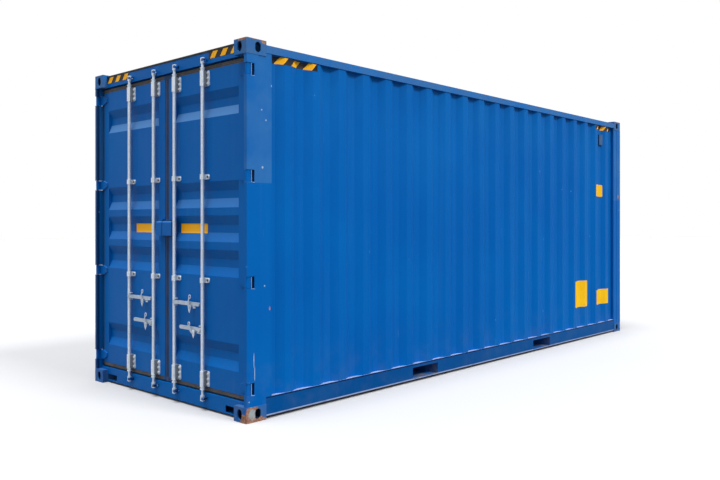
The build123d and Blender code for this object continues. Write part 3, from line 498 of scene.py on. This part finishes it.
def galvanised(name, tint, wear, bloom_share=0.30, shaded_grooves=False):
    """Zinc-coated steel with a faint spangle, white bloom and grey runs, and painted shade in the grooves
    beside the bars where asked.
    """
    s = Shader(name)
    distance, pick = s.cells(95)
    dull = tuple(0.90 * value for value in tint)
    bright = tuple(min(1, 1.06 * value) for value in tint)
    spangle = s.mix(pick, dull, bright)
    bloom = s.ramp(s.noise(9, 6, 0.6), 0.45, 0.75)
    colour = s.mix(s.times(bloom, bloom_share), spangle, ZINC_BLOOM)
    runs = s.ramp(s.noise(1.0, 6, 0.6, s.stretched(40, 40, 1.4)), 0.52, 0.78)
    colour = s.mix(s.times(runs, bloom_share), colour, ZINC_RUNS)
    dirty = s.times(s.ramp(s.noise(26, 6, 0.68), 0.60, 0.72), wear)
    colour = s.mix(dirty, colour, ZINC_DIRT)
    if shaded_grooves:
        # Painted shade in the groove between each bar's sleeve and its foot, left clear at the guides
        heights = [s.math("ABSOLUTE", s.math("SUBTRACT", s.z, z)) for z in GUIDES]
        clear = s.times(*(s.ramp(height, 0.024, 0.028) for height in heights))
        for bar in BARS:
            aside = s.math("SUBTRACT", s.y, bar)
            groove_shade = s.times(s.ramp(aside, -0.0320, -0.0285), s.ramp(aside, -0.0190, -0.0210))
            colour = s.mix(s.times(s.times(groove_shade, clear), 0.85), colour, ZINC_GROOVE_SHADE)
    rough = s.math("ADD", 0.34, s.times(s.noise(16, 5), 0.24))
    normal = s.bump(s.noise(70, 4, 0.6), 0.12, 0.0010)
    normal = s.bump(distance, 0.06, 0.0006, normal)
    return s.finish(colour, rough, normal, Metallic=0.45)


zinc = galvanised("galvanised", (0.60, 0.68, 0.77, 1), 0.15)
zinc_forged = galvanised("galvanised_forged", (0.36, 0.43, 0.52, 1), 0.25)
# painted shade in the grooves beside the bars
zinc_bearing = galvanised("galvanised_bearing", (0.66, 0.72, 0.78, 1), 0.22, shaded_grooves=True)
zinc_cast = galvanised("galvanised_cast", (0.64, 0.70, 0.76, 1), 0.22)
# Near-black steel of the guide bolts: painted shade of the bolt holes in the guides
hole_shade_steel = galvanised("hole_shade_steel", (0.055, 0.060, 0.070, 1), 0.10, 0.08)


def rubbery(name, colour, pale, streaks, overspray_and_shade=False):
    """Weathered rubber with a dusty bloom; on the door gaskets also blue overspray and painted shade in
    the door gaps.
    """
    s = Shader(name)
    dusty = s.ramp(s.noise(7, 6, 0.62), 0.38, 0.72)
    mixed = s.mix(s.times(dusty, 0.65), colour, pale)
    runs = s.ramp(s.noise(1.0, 5, 0.6, s.stretched(*streaks)), 0.5, 0.72)
    mixed = s.mix(s.times(runs, 0.35), mixed, RUBBER_RUNS)
    if overspray_and_shade:
        beside = s.math("ABSOLUTE", s.y)
        sprayed = s.times(s.ramp(beside, 0.010, 0.020), s.ramp(beside, 0.060, 0.050))
        sprayed = s.times(sprayed, s.ramp(s.noise(14, 5), 0.15, 0.50))
        mixed = s.mix(sprayed, mixed, OVERSPRAY)
        # Painted shade: the middle of the seam between the leaves darker, and the gasket on the hinge
        # side of the left door near black, for the shade in those gaps
        above_sill = s.ramp(s.z, LEAF_BOTTOM - 0.004, LEAF_BOTTOM)
        upright = s.times(above_sill, s.ramp(s.z, LEAF_TOP + 0.004, LEAF_TOP))
        seam_shade = s.times(upright, s.ramp(beside, 0.016, 0.010))
        mixed = s.mix(s.times(seam_shade, 0.55), mixed, SEAM_SHADE)
        mixed = s.mix(s.times(s.ramp(s.y, 1.134, 1.137), 0.85), mixed, HINGE_GAP_SHADE)
        mixed = s.mix(s.times(s.ramp(s.y, -1.134, -1.137), 0.80), mixed, OVERSPRAY)
    rough = s.math("ADD", 0.62, s.times(s.noise(20, 4), 0.25))
    normal = s.bump(s.noise(180, 3), 0.15, 0.0008)
    return s.finish(mixed, rough, normal, Specular_IOR_Level=0.3)


# with overspray, and painted shade in the seam and the left hinge gap
rubber = rubbery("seal_rubber", (0.066, 0.060, 0.060, 1), (0.135, 0.118, 0.112, 1), (9, 9, 1.2), True)
header_strip = rubbery("black_strip", (0.006, 0.006, 0.007, 1), (0.020, 0.021, 0.023, 1), (4, 4, 4))


def plywood_floor():
    """Oiled plywood boards that run the length of the floor, with dark seams between them."""
    s = Shader("plywood_floor")
    grain = s.noise(1.0, 8, 0.65, s.stretched(2.2, 46, 20))
    boards = s.noise(1.0, 1, 0.5, s.stretched(0.82, 0.88, 1))
    colour = s.mix(s.ramp(grain, 0.3, 0.7), WOOD_DARK, WOOD_PALE)
    colour = s.mix(s.times(s.ramp(boards, 0.42, 0.58), 0.35), colour, WOOD_BOARD)
    board_y = s.math("FRACT", s.times(s.y, 1 / BOARD_WIDTH))
    board_x = s.math("FRACT", s.times(s.x, 1 / BOARD_LENGTH))
    seam_y = s.math("ABSOLUTE", s.math("SUBTRACT", board_y, 0.5))
    seam_x = s.math("ABSOLUTE", s.math("SUBTRACT", board_x, 0.5))
    seams = s.math("MAXIMUM", s.ramp(seam_y, 0.491, 0.496), s.ramp(seam_x, 0.4985, 0.4993))
    colour = s.mix(seams, colour, WOOD_SEAM)
    scuffed = s.ramp(s.noise(1.0, 6, 0.6, s.stretched(0.8, 30, 4)), 0.58, 0.72)
    colour = s.mix(s.times(scuffed, 0.4), colour, WOOD_SCUFF)
    rough = s.math("ADD", 0.5, s.times(grain, 0.3))
    normal = s.bump(grain, 0.25, 0.0012)
    normal = s.bump(seams, -0.6, 0.002, normal)
    return s.finish(colour, rough, normal, Specular_IOR_Level=0.3)


def vinyl(name, colour, pale, grime):
    """Stuck-on film that has faded and picked up dirt."""
    s = Shader(name)
    mixed = s.mix(s.ramp(s.noise(5, 6), 0.35, 0.75), colour, pale)
    dirty = s.ramp(s.noise(1.0, 6, 0.65, s.stretched(22, 22, 3)), 0.55, 0.78)
    mixed = s.mix(s.times(dirty, grime), mixed, FILM_DIRT)
    distance, pick = s.cells(34)
    spot = s.math("ADD", distance, s.times(s.noise(120, 4), 0.2))
    worn = s.times(s.ramp(spot, 0.24, 0.20), s.ramp(pick, 0.84, 0.86))
    mixed = s.mix(s.times(worn, 0.6), mixed, FILM_WORN)
    rough = s.math("ADD", 0.40, s.times(s.noise(30, 4), 0.2))
    normal = s.bump(s.noise(90, 3), 0.10, 0.0006)
    return s.finish(mixed, rough, normal, Specular_IOR_Level=0.12)


yellow_film = vinyl("yellow_film", (0.84, 0.47, 0.005, 1), (0.88, 0.54, 0.015, 1), 0.08)
orange_film = vinyl("orange_film", (1.00, 0.44, 0.006, 1), (1.00, 0.52, 0.020, 1), 0.08)
black_film = vinyl("black_film", (0.012, 0.012, 0.014, 1), (0.040, 0.042, 0.050, 1), 0.30)
floor_wood = plywood_floor()


def rubbed_and_shaded_paint():
    """Paint of the keepers, blotched pale and dark: pale where rubbed bright by the cams, dark as painted
    shade of the cam mouths.
    """
    s = Shader("keeper_paint")
    colour = s.mix(s.ramp(s.noise(48, 5, 0.6), 0.44, 0.54), PAINTED_SHADE, BLUE)
    colour = s.mix(s.ramp(s.noise(62, 4, 0.6), 0.57, 0.64), colour, BARE_AND_HIGHLIGHT)
    normal = s.bump(s.noise(130, 4), 0.3, 0.0012)
    rough = s.math("ADD", 0.35, s.times(s.noise(40, 4), 0.25))
    return s.finish(colour, rough, normal, Specular_IOR_Level=0.2)


keeper_paint = rubbed_and_shaded_paint()
under_paint = painted("under_paint", chips=0.8, grime=0.95, fade=0.0, dents=0.05)

by_node = {"floor_panels": floor_wood, "corner_castings": casting_paint}
for node in ("side_walls", "front_wall", "roof_panel"):
    by_node[node] = wall_paint
by_node["ventilators"] = vent_paint
for node in ("door_posts", "front_posts", "front_rails", "hinge_pins"):
    by_node[node] = frame_paint
by_node["top_side_rails"] = top_rail_paint
by_node["bottom_side_rails"] = rail_paint
for node in ("door_header", "door_sill"):
    by_node[node] = door_paint
by_node["cam_keepers"] = keeper_paint
for node in ("cross_members", "forklift_pockets"):
    by_node[node] = under_paint
for hand in ("left", "right"):
    for node in ("door_frame", "door_panel", "hinge_blades", "lock_box"):
        by_node[f"{hand}_{node}"] = door_paint
    by_node[f"{hand}_door_gasket"] = rubber
    by_node[f"{hand}_bar_brackets"] = zinc_bearing
    by_node[f"{hand}_handle_catches"] = zinc_cast
for number in range(1, 5):
    by_node[f"lock_bar_{number}"] = zinc
    by_node[f"handle_{number}"] = zinc_forged
    by_node[f"latch_{number}"] = zinc_cast
for node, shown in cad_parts.items():
    shown.data.materials.clear()
    shown.data.materials.append(by_node[node])


def piece(name, mesh, material, body):
    """Object for a finished bmesh that rides on a body and belongs to a material slot."""
    bmesh.ops.recalc_face_normals(mesh, faces=mesh.faces)
    data = bpy.data.meshes.new(name)
    mesh.to_mesh(data)
    mesh.free()
    data.materials.append(material)
    made = bpy.data.objects.new(name, data)
    show(made)
    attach(made, body)
    return made


def clipped(polygon, axis, low, high):
    """Part of a convex polygon between two limits on one axis."""
    for limit, keep in ((low, 1), (high, -1)):
        result = []
        for first, second in zip(polygon, polygon[1:] + polygon[:1]):
            a = keep * (first[axis] - limit)
            b = keep * (second[axis] - limit)
            if a >= 0:
                result.append(first)
            if a * b < 0:
                t = a / (a - b)
                result.append(tuple(p + t * (q - p) for p, q in zip(first, second)))
        polygon = result
    return polygon


def film(name, polygons, place, folds, axis, material, body, lift=0.0005, thick=0.0004):
    """Thin film on a folded surface: outlines are cut at the folds and laid on the flats between."""
    mesh = bmesh.new()
    for polygon in polygons:
        for low, high in zip(folds, folds[1:]):
            flat = clipped(polygon, axis, low, high)
            if len(flat) > 2:
                mesh.faces.new([mesh.verts.new(place(u, v, lift)) for u, v in flat])
    bmesh.ops.remove_doubles(mesh, verts=mesh.verts, dist=1e-5)
    bmesh.ops.recalc_face_normals(mesh, faces=mesh.faces)
    bmesh.ops.solidify(mesh, geom=mesh.faces, thickness=thick)
    return piece(name, mesh, material, body)


def rounded(u0, v0, u1, v1, radius, steps=5):
    """Outline of a rectangle with rounded corners."""
    outline = []
    left, right = u0 + radius, u1 - radius
    bottom, top = v0 + radius, v1 - radius
    corners = ((right, top), (left, top), (left, bottom), (right, bottom))
    for quarter, (u, v) in enumerate(corners):
        for step in range(steps + 1):
            turn = math.pi / 2 * (quarter + step / steps)
            outline.append((u + radius * math.cos(turn), v + radius * math.sin(turn)))
    return outline


def wall_depth(along):
    """How far the corrugated side sheet stands back from the side of the container."""
    if along < RIB_START or along > RIB_START + RIB_COUNT * RIB_PITCH:
        return WALL_DEEP
    rise, fall, end = RIB_TURNS
    turn = (along - RIB_START) % RIB_PITCH
    if turn < rise:
        return WALL_DEEP - RIB_HEIGHT * turn / rise
    if turn < fall:
        return WALL_SHALLOW
    if turn < end:
        return WALL_SHALLOW + RIB_HEIGHT * (turn - fall) / rise
    return WALL_DEEP


wall_folds = [WALL_EDGES[0]]
for rib in range(RIB_COUNT):
    wall_folds += [RIB_START + rib * RIB_PITCH + step for step in (0, *RIB_TURNS)]
wall_folds.append(WALL_EDGES[1])


def on_wall(along, z, lift):
    """Point on the lit side wall."""
    return (deep(along), -SIDE + wall_depth(along) - lift, z)


def on_header(y, z, lift):
    """Point on the face of the header."""
    return (deep(HEADER_FACE - lift), y, z)


def on_leaf(y, z, lift):
    """Point on the middle recess of a door sheet."""
    above = max(0, abs(z - LEAF_MIDDLE) - RECESS_FLAT)
    return (deep(LEAF_FACE + RECESS_DEEP - RECESS_DEEP * above / RECESS_SLOPE - lift), y, z)


def leaning(start, low, high, width, lean):
    """Parallelogram of a warning stripe."""
    return [(start, low), (start + width, low), (start + width + lean, high), (start + lean, high)]


def banded(name, start, end, first, way, heights, place, folds, ends):
    """Black band with leaning stripes on it, the first at a place along the band, cut at two ends."""
    low, high = heights
    outline = [(start, low), (end, low), (end, high), (start, high)]
    film(f"{name}_band", [outline], place, folds, 0, black_film, "shell")
    low, high = low + BAND_MARGIN, high - BAND_MARGIN
    stripes = []
    for count in range(STRIPES):
        corner = first + way * count * STRIPE_PITCH
        stripe = leaning(corner, low, high, way * STRIPE, way * STRIPE_LEAN)
        stripes.append(clipped(stripe, 0, *ends))
    film(f"{name}_stripes", stripes, place, folds, 0, orange_film, "shell", STRIPE_LIFT)


for name, start, end, first in (("near", 0.245, 0.684, 0.277), ("far", 5.378, 5.815, 5.397)):
    banded(f"{name}_side", start, end, first, 1, SIDE_BAND, on_wall, wall_folds, WALL_EDGES)
flat_header = [-1.2, 1.2]
header_ends = (-BAND_END, BAND_END)
for name, start, end, first in (("left", 1.0565, 0.640, 1.043), ("right", -0.650, -1.0565, -0.668)):
    banded(f"{name}_header", start, end, first, -1, HEADER_BAND, on_header, flat_header, header_ends)

leaf_folds = [1.35, LEAF_MIDDLE - RECESS_FLAT, LEAF_MIDDLE + RECESS_FLAT, 1.60]
for hand, low, high in (("left", 0.251, 0.570), ("right", -0.581, -0.183)):
    plate = rounded(low, DOOR_FILM[0], high, DOOR_FILM[1], 0.008)
    film(f"{hand}_door_film", [plate], on_leaf, leaf_folds, 1, orange_film, f"{hand}_door")
side_plates = [
    rounded(5.385, 1.853, 5.595, 2.010, 0.012),
    rounded(4.846, 0.421, 5.141, 0.757, 0.016),
    rounded(5.396, 0.414, 5.721, 0.611, 0.016),
]
film("side_films", side_plates, on_wall, wall_folds, 0, yellow_film, "shell", 0.0007)


def headings(points, closed):
    """Direction of a line at each of its points."""
    count = len(points)
    found = []
    for index, point in enumerate(points):
        before = points[index - 1] if index or closed else point
        after = points[(index + 1) % count] if index < count - 1 or closed else point
        found.append((after - before).normalized())
    return found


def skin(mesh, rings, closed):
    """Faces between rings of points, with a cap at each end unless the rings close up."""
    pairs = list(zip(rings, rings[1:]))
    if closed:
        pairs.append((rings[-1], rings[0]))
    for first, second in pairs:
        for side in range(len(first)):
            mesh.faces.new((first[side], first[side - 1], second[side - 1], second[side]))
    if not closed:
        mesh.faces.new(rings[0])
        mesh.faces.new(rings[-1])


def tube(mesh, points, radius, sides=8, closed=False, ripple=0.0):
    """Round bead along a line of points, with an optional weld ripple."""
    rings = []
    slanted = Vector((0.31, 0.17, 0.93))
    for index, (point, along) in enumerate(zip(points, headings(points, closed))):
        across = along.cross(slanted).normalized()
        over = along.cross(across)
        size = radius * (1 + ripple * math.sin(index * 2.4) * random.uniform(0.5, 1.0))
        ring = []
        for side in range(sides):
            turn = 2 * math.pi * side / sides
            spoke = math.cos(turn) * across + math.sin(turn) * over
            ring.append(mesh.verts.new(point + size * spoke))
        rings.append(ring)
    skin(mesh, rings, closed)


def straight(start, end, step):
    """Points along a straight line."""
    start, end = Vector(start), Vector(end)
    count = max(2, int((end - start).length / step))
    return [start.lerp(end, index / count) for index in range(count + 1)]


def path(corners, step):
    """Points along a line with corners."""
    line = [Vector(corners[0])]
    for first, second in zip(corners, corners[1:]):
        line += straight(first, second, step)[1:]
    return line


def weld(mesh, corners, radius, step=WELD_STEP, ripple=WELD_RIPPLE):
    """Rippled bead along a line with corners."""
    tube(mesh, path(corners, step), radius, WELD_SIDES, False, ripple)


def bolt(mesh, centre, normal, radius, height, washer):
    """Hexagon head with a chamfered crown on a round washer."""
    normal = Vector(normal)
    side = normal.orthogonal().normalized()
    spin = random.uniform(0, math.pi / 3)
    thin = 0.0012
    levels = [
        (washer, 0.0, 20),
        (washer, thin, 20),
        (radius, thin, 6),
        (radius, height - thin, 6),
        (radius * 0.84, height, 6),
    ]
    previous = None
    for size, rise, corners in levels:
        ring = []
        for corner in range(corners):
            turn = Matrix.Rotation(spin + 2 * math.pi * corner / corners, 3, normal)
            ring.append(mesh.verts.new(Vector(centre) + rise * normal + size * (turn @ side)))
        if previous is None:
            mesh.faces.new(ring)
        elif len(previous) == corners:
            for corner in range(corners):
                mesh.faces.new((previous[corner - 1], previous[corner], ring[corner], ring[corner - 1]))
        else:
            mesh.faces.new(previous)
            mesh.faces.new(ring)
        previous = ring
    mesh.faces.new(previous)


def disc(mesh, centre, normal, radius, height, corners=24):
    """Flat round washer with a chamfered rim."""
    normal = Vector(normal)
    side = normal.orthogonal().normalized()
    angles = [2 * math.pi * corner / corners for corner in range(corners)]
    spokes = [Matrix.Rotation(angle, 3, normal) @ side for angle in angles]
    rings = []
    for size, rise in ((radius, 0.0), (radius, 0.7 * height), (0.92 * radius, height)):
        middle = Vector(centre) + rise * normal
        rings.append([mesh.verts.new(middle + size * spoke) for spoke in spokes])
    for first, second in zip(rings, rings[1:]):
        for corner in range(corners):
            mesh.faces.new((first[corner - 1], first[corner], second[corner], second[corner - 1]))
    mesh.faces.new(rings[0])
    mesh.faces.new(rings[-1])


# Fixings and rims of the bar brackets: three bolts on each end bearing and one on each guide
half_turn = [math.radians(turn) for turn in range(-90, 91, 10)]
for hand, bars in (("left", BARS[:2]), ("right", BARS[2:])):
    fixings, guide_bolts, rims = bmesh.new(), bmesh.new(), bmesh.new()
    for y in bars:
        aside = y - FOOT_ASIDE
        for z in (LEAF_BOTTOM + BEARING_MIDDLE, LEAF_TOP - BEARING_MIDDLE):
            for step in (-BOLT_PITCH, 0, BOLT_PITCH):
                bolt(fixings, (deep(FOOT_FACE), aside, z + step), OUTWARD, *BEARING_BOLT)
        for z in GUIDES:
            disc(fixings, (deep(FOOT_FACE), aside, z), OUTWARD, *GUIDE_WASHER)
            bolt(guide_bolts, (deep(FOOT_FACE - GUIDE_WASHER[1]), aside, z), OUTWARD, *GUIDE_BOLT)
        levels = [LEAF_BOTTOM + 0.007, LEAF_BOTTOM + 0.129, LEAF_TOP - 0.129, LEAF_TOP - 0.007]
        levels += [z + step for z in GUIDES for step in (-0.019, 0.019)]
        for z in levels:
            around = []
            for turn in half_turn:
                depth = BAR_DEEP - RIM_RADIUS * math.cos(turn)
                around.append(Vector((deep(depth), y + RIM_RADIUS * math.sin(turn), z)))
            tube(rims, around, RIM_BEAD, 6)
    piece(f"{hand}_bracket_bolts", fixings, zinc_cast, f"{hand}_door")
    # the near-black guide bolts are painted shade of the holes in the guides
    piece(f"{hand}_guide_bolts", guide_bolts, hole_shade_steel, f"{hand}_door")
    piece(f"{hand}_bracket_rims", rims, zinc_cast, f"{hand}_door")


def ribbon(mesh, points, widths, thick, closed=False, sides=12):
    """Forged strip along a line in a plane across X, with an oval section of varying width."""
    rings = []
    for point, width, along in zip(points, widths, headings(points, closed)):
        across = Vector((1, 0, 0)).cross(along).normalized()
        ring = []
        for side in range(sides):
            turn = 2 * math.pi * side / sides
            bulge = abs(math.sin(turn)) ** 0.6 * math.copysign(1, math.sin(turn))
            edge = point + width * math.cos(turn) * across
            ring.append(mesh.verts.new(edge + Vector((thick * bulge, 0, 0))))
        rings.append(ring)
    skin(mesh, rings, closed)


def smooth(points, steps):
    """Points on a smooth curve through some points."""
    points = [points[0]] + list(points) + [points[-1]]
    curve = []
    for a, b, c, d in zip(points, points[1:], points[2:], points[3:]):
        for step in range(steps):
            t = step / steps
            first = (c - a) * t
            second = (2 * a - 5 * b + 4 * c - d) * t**2
            third = (3 * b - a - 3 * c + d) * t**3
            curve.append(0.5 * (2 * b + first + second + third))
    return curve + [points[-1]]


# Forged latches: an S-shaped stem that ends in a ring, on the bolt of its catch; one hangs aside
for number, (bar, way, reach, z, lean) in enumerate(zip(BARS, WAYS, REACHES, HANDLES, LATCH_LEANS), 1):
    pivot = Vector((deep(LATCH_DEEP), bar + way * reach, z - CATCH_DROP))
    turned = Matrix.Rotation(math.radians(lean), 3, "X")
    stem = [Vector(point) for point in STEM]
    widths = [Vector((width, 0, 0)) for width in STEM_WIDTHS]
    forged = bmesh.new()
    line = [pivot + turned @ point for point in smooth(stem, CURVE_STEPS)]
    ribbon(forged, line, [width.x for width in smooth(widths, CURVE_STEPS)], LATCH_THICK)
    ring_centre = pivot + turned @ Vector(RING_CENTRE)
    turns = [2 * math.pi * step / RING_STEPS for step in range(RING_STEPS)]
    ring = [ring_centre + RING_RADIUS * Vector((0, math.cos(turn), math.sin(turn))) for turn in turns]
    ribbon(forged, ring, [RING_WIDTH] * RING_STEPS, RING_THICK, True, 10)
    hook = piece(f"forged_latch_{number}", forged, zinc_forged, f"latch_{number}")
    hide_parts(f"latch_{number}")


def cushion(mesh, low, high, bevel):
    """Box with rounded edges between two corners."""
    low, high = Vector(low), Vector(high)
    made = bmesh.ops.create_cube(mesh, size=1.0)
    spans = [high[axis] - low[axis] for axis in range(3)]
    for vert in made["verts"]:
        vert.co = Vector((low[axis] + (vert.co[axis] + 0.5) * spans[axis] for axis in range(3)))
    edges = list({edge for vert in made["verts"] for edge in vert.link_edges})
    bmesh.ops.bevel(mesh, geom=edges, offset=bevel, segments=4, profile=0.5, affect="EDGES")


# Forged cheeks above and below the hub of each handle
for number, (bar, way, z) in enumerate(zip(BARS, WAYS, HANDLES), 1):
    cheeks = bmesh.new()
    inner, outer = sorted(bar + way * along for along in CHEEK_ALONG)
    front, back = (deep(depth) for depth in CHEEK_DEPTHS)
    near, far = CHEEK_RISE
    for low, high in ((z + near, z + far), (z - far, z - near)):
        cushion(cheeks, (front, inner, low), (back, outer, high), CHEEK_BEVEL)
    piece(f"hub_cheeks_{number}", cheeks, zinc_forged, f"lock_bar_{number}")

# Raised lips of the door seals
for hand, sign in (("left", 1), ("right", -1)):
    lips = bmesh.new()
    for out, radius in SEAL_LIPS:
        y0, y1 = sign * (LEAF_SEAM - SEAL_OVERLAP * out / SEAL_WIDTH), sign * (LEAF_HINGE + out)
        z0, z1 = LEAF_BOTTOM - out, LEAF_TOP + out
        x = deep(LEAF_FACE + 0.004)
        corners = [(x, y0, z0), (x, y1, z0), (x, y1, z1), (x, y0, z1)]
        loop = path(corners + corners[:1], 0.09)[:-1]
        tube(lips, loop, radius, 8, True)
    piece(f"{hand}_seal_lips", lips, rubber, f"{hand}_door")

# Black strip along the top edge of the header, whose front edges sag a little
edge = bmesh.new()
reach = SIDE - CASTING[1] - 0.0005
corners = [
    (HEADER_FACE - 0.0020, 2.8690, True),
    (HEADER_FACE - 0.0040, 2.8800, True),
    (HEADER_FACE - 0.0010, 2.8855, False),
    (HEADER_FACE + 0.022, 2.8860, False),
    (HEADER_FACE + 0.024, 2.8800, False),
    (HEADER_FACE + 0.0002, 2.8798, False),
    (HEADER_FACE + 0.0002, 2.8690, False),
]
rings = []
for y in [-reach + 2 * reach * step / 160 for step in range(161)]:
    sag = 0.0008 * math.sin(y * 23.0) + 0.0006 * math.sin(y * 61.0)
    rings.append([edge.verts.new((deep(depth), y, z + sag * sags)) for depth, z, sags in corners])
for first, second in zip(rings, rings[1:]):
    for index in range(len(corners)):
        edge.faces.new((first[index - 1], first[index], second[index], second[index - 1]))
edge.faces.new(rings[0])
edge.faces.new(rings[-1])
piece("header_black_strip", edge, header_strip, "shell")

# Weld beads where posts, header and sill meet the castings, and at the ends of the wall sheets, in
# lighter paint as a painted highlight
beads = bmesh.new()
for sign in (-1, 1):
    y_out, y_in = sign * (SIDE - 0.0042), sign * (SIDE - 0.038)
    for z in (CASTING[2], HEIGHT - CASTING[2]):
        weld(beads, [(deep(0.004), y_in, z), (deep(0.004), y_out, z), (deep(0.108), y_out, z)], 0.0028)
    y_sheet = sign * (SIDE - 0.0115)
    for along in WALL_EDGES:
        x = deep(along)
        weld(beads, [(x, y_sheet, RAIL_TOP), (x, y_sheet, WALL_TOP)], 0.0035, 0.012, 0.3)
    y_casting = sign * (SIDE - CASTING[1])
    for depth, low, high in ((HEADER_FACE, 2.780, 2.870), (SILL_FACE, 0.020, 0.116)):
        weld(beads, [(deep(depth), y_casting, low), (deep(depth), y_casting, high)], 0.0030)
piece("frame_welds", beads, lit_and_worn_edges, "shell")

# Rims of the hinge slots in the posts in pale paint, a painted highlight with some wear, and weld beads
# round the hinge blades in lighter paint, a painted highlight
rims = bmesh.new()
for sign in (-1, 1):
    y = sign * (SIDE - 0.0030)
    for z in HINGES:
        slot = [(deep(0.046), y, z + 0.040), (deep(0.046), y, z - 0.048), (deep(0.074), y, z - 0.050)]
        weld(rims, slot, 0.0021, 0.006, 0.30)
piece("slot_welds", rims, pale_edges, "shell")
for hand, sign in (("left", 1), ("right", -1)):
    beads = bmesh.new()
    x, y_root, y_tip = deep(LEAF_FACE), sign * LEAF_HINGE, sign * (LEAF_HINGE - 0.066)
    for z in HINGES:
        blade = [(x, y_root, z - 0.042), (x, y_tip, z - 0.018)]
        blade += [(x, y_tip, z + 0.018), (x, y_root, z + 0.042)]
        weld(beads, blade, 0.0032)
    piece(f"{hand}_hinge_welds", beads, lit_and_worn_edges, f"{hand}_door")

# Pale floor that keeps the shadow, light from the long side and from above, and a white background
ground = bmesh.new()
bmesh.ops.create_grid(ground, x_segments=1, y_segments=1, size=60)
floor_mesh = bpy.data.meshes.new("floor")
ground.to_mesh(floor_mesh)
ground.free()
floor = bpy.data.objects.new("floor", floor_mesh)
show(floor)
pale = Shader("pale_floor")
rays = pale.tree.nodes.new("ShaderNodeLightPath")
seen = pale.math("MAXIMUM", rays.outputs["Is Camera Ray"], rays.outputs["Is Glossy Ray"])
tone = pale.mix(seen, (0.09, 0.09, 0.093, 1), (0.46, 0.46, 0.465, 1))
grit = pale.bump(pale.noise(40), 0.05, 0.001)
floor_mesh.materials.append(pale.finish(tone, 0.9, grit, Specular_IOR_Level=0.1))

lights = [
    ("key", 2.35, 15, (-0.10, 0.70, -0.70)),
    ("overhead", 3.4, 25, (0.20, 0.04, -1.0)),
]
for name, energy, spread, aim in lights:
    sun = bpy.data.objects.new(name, bpy.data.lights.new(name, "SUN"))
    sun.data.energy = energy
    sun.data.angle = math.radians(spread)
    sun.rotation_euler = Vector(aim).to_track_quat("-Z", "Y").to_euler()
    show(sun)

world = bpy.data.worlds.new("studio")
bpy.context.scene.world = world
world.use_nodes = True
tree = world.node_tree
tree.nodes.clear()
rays = tree.nodes.new("ShaderNodeLightPath")
glossy = tree.nodes.new("ShaderNodeMath")
glossy.operation = "MAXIMUM"
tree.links.new(rays.outputs["Is Glossy Ray"], glossy.inputs[0])
tree.links.new(rays.outputs["Is Transmission Ray"], glossy.inputs[1])
either = tree.nodes.new("ShaderNodeMath")
either.operation = "MAXIMUM"
tree.links.new(rays.outputs["Is Camera Ray"], either.inputs[0])
tree.links.new(glossy.outputs[0], either.inputs[1])
soft = tree.nodes.new("ShaderNodeBackground")
direction = tree.nodes.new("ShaderNodeTexCoord")
height = tree.nodes.new("ShaderNodeSeparateXYZ")
tree.links.new(direction.outputs["Generated"], height.inputs[0])
sky = tree.nodes.new("ShaderNodeMapRange")
tree.links.new(height.outputs["Z"], sky.inputs["Value"])
sky.inputs["To Min"].default_value = 0.58
sky.inputs["To Max"].default_value = 0.92
tree.links.new(sky.outputs["Result"], soft.inputs["Strength"])
soft.inputs["Color"].default_value = (0.93, 0.96, 1.0, 1)
white = tree.nodes.new("ShaderNodeBackground")
white.inputs["Color"].default_value = (1, 1, 1, 1)
white.inputs["Strength"].default_value = 1.0
choose = tree.nodes.new("ShaderNodeMixShader")
tree.links.new(either.outputs[0], choose.inputs["Fac"])
tree.links.new(soft.outputs[0], choose.inputs[1])
tree.links.new(white.outputs[0], choose.inputs[2])
output = tree.nodes.new("ShaderNodeOutputWorld")
tree.links.new(choose.outputs[0], output.inputs["Surface"])
